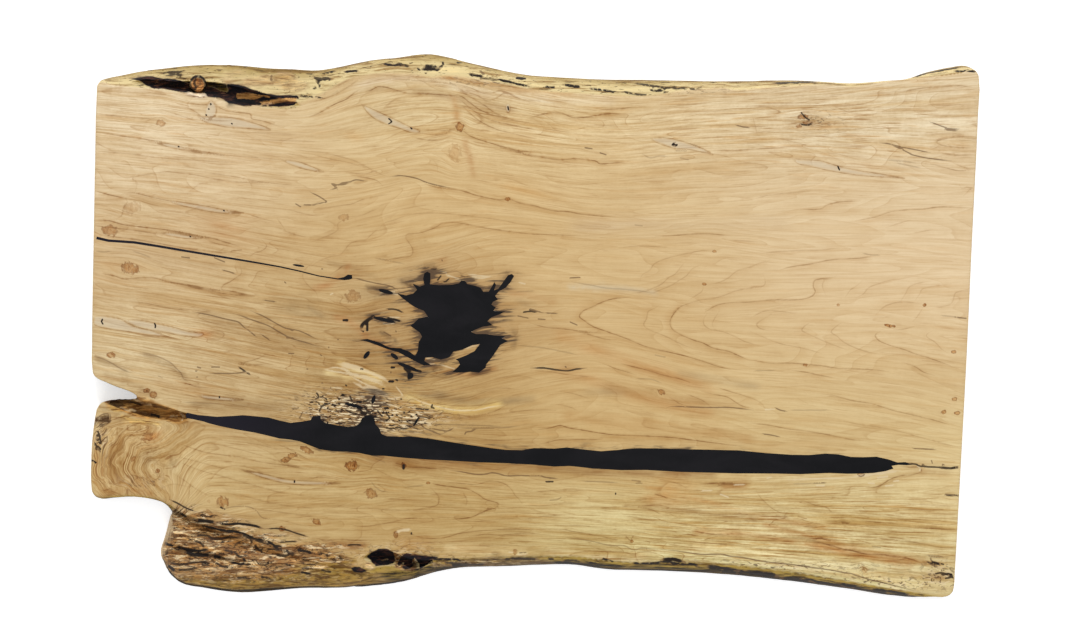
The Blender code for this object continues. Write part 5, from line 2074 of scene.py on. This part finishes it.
ring_field = maple.noise(grain, (0.42, 2.3, 1), 2, 0.45, 0.5)
ring_step = maple.step_of(ring_field, RING_COUNT)
late_wood = maple.times(maple.ramp(ring_step, 0.1, 1.0), maple.ramp(ring_step, 1.0, 0.97))
ring_line = maple.times(maple.ramp(ring_step, 0.89, 0.965), maple.ramp(ring_step, 1.0, 0.975),
                        maple.ramp(breaks, 0.4, 0.58))
maple.stain(maple.times(late_wood, 0.26), (0.8, 0.7, 0.56))
maple.stain(maple.times(ring_line, lively_zone, 0.36), (0.55, 0.38, 0.23))
burl_step = maple.step_of(maple.noise(grain, (5, 9, 1), 4, 0.62, 1.6), BURL_RING_COUNT)
for pattern, low, high, amount, tint in [
        (burl_step, 0.2, 0.95, 0.3, (0.66, 0.48, 0.3)), (figure, 0.5, 0.7, 0.55, (0.62, 0.46, 0.27)),
        (mottle, 0.5, 0.66, 0.4, (0.6, 0.44, 0.27))]:
    maple.stain(maple.times(maple.ramp(pattern, low, high), burl_zone, amount), tint)
print(f"rings: {RING_COUNT:.0f} steps, {BURL_RING_COUNT:.0f} in the burl")

# %% [markdown]
# ## Growth lines and knots
# The traced lines are drawn from the distances that the skin carries. A wavering noise is added first,
# so that their edges fray as fibres do. Each growth line has a soft shade on one side, where the late
# wood is. A knot is tan with rings of its own, a dark rim and, in the darkest ones, a dark heart.

# %% Draw growth lines and knots
def drawn(near, strength, low, high, wobble):
    """How strongly a line shows: its swayed nearness, climbed smoothly, times its strength."""
    return maple.times(maple.ramp(maple.swayed(near, waver, wobble), low, high), strength)


worn_thin = maple.ramp(breaks, 0.36, 0.58, 0.4, 1.0)
maple.stain(maple.times(growth_shade, 0.6), (0.74, 0.58, 0.4))
maple.lay(maple.times(lens_inside, 0.36), (0.58, 0.53, 0.42))
maple.stain(maple.times(drawn(growth_near, growth_strength, -1.2, 0.9, 1.4), 0.3), (0.68, 0.52, 0.34))
growth = maple.times(drawn(growth_near, growth_strength, 0.25, 0.9, 1.2), worn_thin)
maple.stain(maple.times(growth, 0.72), (0.42, 0.27, 0.15))
bent = maple.swayed(knot_near, mottle, 1.8)
knot_rings_shade = maple.ramp(maple.step_of(bent, 2.2), 0.1, 0.95, 0.5, 1.0)
maple.stain(maple.times(maple.ramp(bent, -0.15, 0.4), knot_strength, knot_rings_shade), (0.68, 0.4, 0.17))
knot_grit = maple.times(maple.ramp(bent, 0.0, 0.3), maple.ramp(mottle, 0.5, 0.6), knot_strength)
maple.stain(maple.times(knot_grit, 0.6), (0.42, 0.24, 0.12))
knot_rim = maple.times(maple.ramp(maple.away(bent, 0.1), 0.2, 0.02), knot_strength)
maple.stain(maple.times(knot_rim, 0.75), (0.34, 0.18, 0.08))
knot_heart = maple.times(maple.ramp(bent, 0.7, 1.0), maple.ramp(knot_strength, 0.75, 1.0))
maple.stain(maple.times(knot_heart, 0.75), (0.2, 0.1, 0.05))
maple.lay(drawn(cream_near, cream_strength, -0.1, 0.8, 1.6), (0.68, 0.55, 0.34))
print(f"with lines and knots: {len(maple.tree.nodes)} nodes")

# %% [markdown]
# ## Smoke, spalt and specks
# Smoke lies in streaks along the grain, darkest against the resin. Spalted wood is half eaten by
# fungus: bleached chips, brown swirls and black zone lines, which are the height lines of one more
# noise. Specks are pale chips with brown and black grains over them.

# %% Draw smoke, spalt and specks
smoke_streaks = maple.noise(grain, (2.6, 30, 1), 4, 0.65, 0.6)
smoky = maple.ramp(maple.swayed(smoke_zone, smoke_streaks, 2.8), 0.3, 0.72)
maple.stain(maple.times(smoke_zone, 0.6), (0.5, 0.32, 0.16))
maple.lay(maple.times(smoky, maple.ramp(smoke_zone, 0.08, 0.4), 0.85), (0.06, 0.038, 0.026))
spalt_swirl = maple.noise(grain, (3.6, 12, 1), 5, 0.64, 1.2)
spalt_patch = maple.noise(grain, (8, 24, 1), 3, 0.6, 0.8)
spalt_chip = maple.noise(grain, (5, 26, 1), 4, 0.6, 0.7)
contour = maple.away(maple.step_of(spalt_swirl, 9.0), 0.5)
zone_line = maple.times(maple.ramp(contour, 0.17, 0.07), maple.ramp(spalt_patch, 0.4, 0.5))
for pattern, amount, colour in [
        (maple.ramp(spalt_chip, 0.3, 0.7), 0.85, (0.5, 0.3, 0.12)),
        (maple.ramp(spalt_swirl, 0.48, 0.6), 0.75, (0.28, 0.125, 0.034)),
        (maple.ramp(spalt_chip, 0.53, 0.59), 0.9, (0.7, 0.54, 0.32)),
        (maple.ramp(spalt_patch, 0.56, 0.66), 0.85, (0.04, 0.022, 0.012)),
        (zone_line, 0.95, (0.012, 0.009, 0.007))]:
    maple.lay(maple.times(pattern, spalt_zone, amount), colour)
speck_noise = maple.noise(grain, (16, 36, 1), 2, 0.6, 1.0)
chip_noise = maple.noise(grain, (9, 42, 1), 2, 0.6, 0.8)
maple.lay(maple.times(maple.ramp(chip_noise, 0.51, 0.59), speck_zone, 0.85), (0.72, 0.58, 0.36))
maple.lay(maple.times(maple.ramp(speck_noise, 0.53, 0.6), speck_zone, 0.85), (0.2, 0.1, 0.04))
maple.lay(maple.times(maple.ramp(speck_noise, 0.585, 0.615), speck_zone), (0.014, 0.010, 0.008))
print(f"with smoke, spalt and specks: {len(maple.tree.nodes)} nodes")

# %% [markdown]
# ## Live edges, hollows and ink
# The wood under the bark is golden on the far edge, dark and streaked on the near one: partly its own
# colour and partly painted light and shade, as the far edge faces the lamps and the near one faces away.
# Both are also painted darker towards the bottom, which is painted shade. Its patterns use Object
# coordinates, so they run on round the edge. Hollows are painted near black, with red brown splinters.

# %% Colour the live edges and hollows
_, object_y, object_z = maple.split(on_object)
edge_depth = maple.sum("SUBTRACT", 1.0, maple.sum("DIVIDE", object_z, float(THICKNESS)))
streaks = maple.noise(on_object, (9, 120, 80), 4, 0.65, 0.9)
blotches = maple.noise(on_object, (20, 70, 50), 4, 0.62, 1.4)
specks = maple.noise(on_object, (110, 280, 200), 2, 0.6, 0.5)
uneven_depth = maple.swayed(edge_depth, blotches, 0.9)
# painted light and shade down each edge: paler by the face, darker lower down
lit_far_edge_colour = maple.blend(maple.ramp(uneven_depth, 0.1, 0.85), (0.64, 0.51, 0.26), (0.36, 0.25, 0.085))
shaded_near_edge_colour = maple.blend(maple.ramp(uneven_depth, 0.05, 0.6), (0.36, 0.235, 0.045), (0.056, 0.031, 0.004))
near_black = maple.times(maple.ramp(streaks, 0.47, 0.55), maple.ramp(uneven_depth, 0.0, 0.35))
shaded_near_edge_colour = maple.blend(near_black, shaded_near_edge_colour, (0.012, 0.008, 0.005))
# the far edge, which faces the lamps, gets the painted light and the near edge gets the painted shade
edge_colour_and_shade = maple.blend(edge_facing_the_light, shaded_near_edge_colour, lit_far_edge_colour)
for pattern, low, high, amount, tint in [
        (streaks, 0.49, 0.64, 0.8, (0.42, 0.28, 0.14)), (streaks, 0.46, 0.3, 0.5, (1.32, 1.28, 1.16)),
        # the darkening of each edge's lowest part is painted shade
        (edge_depth, 0.7, 0.97, 0.8, (0.4, 0.33, 0.2)), (blotches, 0.6, 0.68, 0.85, (0.1, 0.065, 0.04)),
        (specks, 0.62, 0.7, 0.8, (0.12, 0.08, 0.05))]:
    edge_colour_and_shade = maple.blend(maple.ramp(pattern, low, high, 0, amount), edge_colour_and_shade, tint, "MULTIPLY")
maple.lay(maple.times(slope_zone, maple.sum("SUBTRACT", 1.0, painted_zone)), edge_colour_and_shade)
# a patchy noise: it paints the hollows near black with red brown splinters, and mottles the areas
rough_grit = maple.noise(on_object, (34, 190, 80), 4, 0.62, 1.0)
hollow_colour = maple.blend(maple.ramp(rough_grit, 0.48, 0.64), (0.006, 0.005, 0.007), (0.075, 0.028, 0.018))
hollow_colour = maple.blend(maple.ramp(rough_grit, 0.62, 0.72), hollow_colour, (0.3, 0.17, 0.08))
maple.lay(maple.ramp(hollow_zone, 0.25, 0.75), hollow_colour)
rough_paint = maple.times(painted_zone, maple.sum("SUBTRACT", 1.0, hollow_zone))
maple.stain(maple.times(maple.ramp(rough_grit, 0.49, 0.58), rough_paint, 0.9), (0.3, 0.17, 0.07))
maple.stain(maple.times(maple.ramp(rough_grit, 0.47, 0.4), rough_paint, 0.8), (1.5, 1.4, 1.2))
ink = drawn(ink_near, ink_strength, -0.05, 0.5, maple.ramp(slope_zone, 0.0, 1.0, 1.0, 2.1))
maple.lay(ink, maple.blend(maple.ramp(ink_strength, 0.6, 0.95), (0.13, 0.065, 0.028), (0.018, 0.011, 0.007)))
print(f"with live edges and ink: {len(maple.tree.nodes)} nodes")

# %% [markdown]
# ## Sawn ends and sheen
# On the sawn ends the year rings are circles round the pith of each stem, which lies below the slab:
# the sine of the distance to it. An oiled face has a low, even sheen, and the live edges are rougher.

# %% Saw the ends and give the maple its sheen
STEM_LINE, STEM_ASIDE, PITH_BELOW = 0.02, 0.22, 0.06
RING_RATE, RING_SWAY = 1500.0, 14.0
OILED_ROUGHNESS, ROUGHNESS_SPREAD, EDGE_ROUGHER = 0.5, 0.04, 0.16
MAPLE_MIRRORING = 0.12
BUMP_DISTANCE = 0.0006

pith_y = maple.sum("SUBTRACT", maple.sum("ABSOLUTE", maple.sum("ADD", object_y, STEM_LINE)), STEM_ASIDE)
pith_z = maple.sum("ADD", object_z, PITH_BELOW)
ring_radius = maple.sum("SQRT", maple.sum("ADD", maple.times(pith_y, pith_y), maple.times(pith_z, pith_z)))
ring_noise = maple.noise(on_object, (4, 14, 30), 2, 0.5)
ring_angle = maple.sum("MULTIPLY_ADD", ring_radius, RING_RATE, maple.times(ring_noise, RING_SWAY))
ring_wave = maple.ramp(maple.sum("SINE", ring_angle), 0.2, 1.0, 0, 0.5)
maple.lay(sawn_zone, maple.blend(ring_wave, (0.55, 0.38, 0.19), (0.34, 0.22, 0.1)))
face_roughness = maple.ramp(fibres, 0.3, 0.7, OILED_ROUGHNESS - ROUGHNESS_SPREAD,
                            OILED_ROUGHNESS + ROUGHNESS_SPREAD)
roughness = maple.sum("MULTIPLY_ADD", slope_zone, EDGE_ROUGHER, face_roughness)
slope_relief = maple.times(maple.sum("ADD", streaks, blotches), slope_zone)
relief = maple.sum("ADD", maple.times(fibres, 0.12), slope_relief)
relief = maple.sum("SUBTRACT", relief, maple.times(ink, 0.3))
bump = maple.node("Bump", {"Height": relief, "Distance": BUMP_DISTANCE, "Strength": 0.6})
maple.feed(maple.shader.inputs["Normal"], bump)
slab_mesh.materials.append(maple.finished(roughness, MAPLE_MIRRORING))
print(f"oiled maple: {len(maple.tree.nodes)} nodes")

# %% [markdown]
# ## Black resin
# Cast epoxy with black pigment, sanded flush and oiled over: nearly black, a touch bluish where it is
# thin at the river's left end, satin rather than glassy, with the faint swirls that the last grit
# leaves. It keeps the CAD pieces, whose shape is right.

# %% Mix the black resin
BLUISH_FROM, BLUISH_TO = (330, 0), (200, 0)
RESIN_MIRRORING = 0.13

resin = Finish("black_cast_resin")
resin_place = resin.node("TexCoord", output="Object")
swirls = resin.noise(resin_place, (60, 60, 60), 4, 0.6, 1.5)
clouds = resin.noise(resin_place, (7, 22, 7), 3, 0.5, 0.8)
left_end = resin.ramp(resin.split(resin_place)[0], float(metres(BLUISH_FROM)[0]),
                      float(metres(BLUISH_TO)[0]))
resin.colour = resin.blend(resin.ramp(clouds, 0.35, 0.7), (0.004, 0.004, 0.005), (0.008, 0.0075, 0.009))
resin.lay(resin.times(left_end, 0.8), (0.013, 0.011, 0.018))
resin_material = resin.finished(resin.ramp(swirls, 0.3, 0.7, 0.32, 0.42), RESIN_MIRRORING)
resin_names = [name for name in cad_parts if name.startswith("resin_")]
for name in resin_names:
    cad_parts[name].data.materials.clear()
    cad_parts[name].data.materials.append(resin_material)
print(f"black resin on {len(resin_names)} CAD pieces")
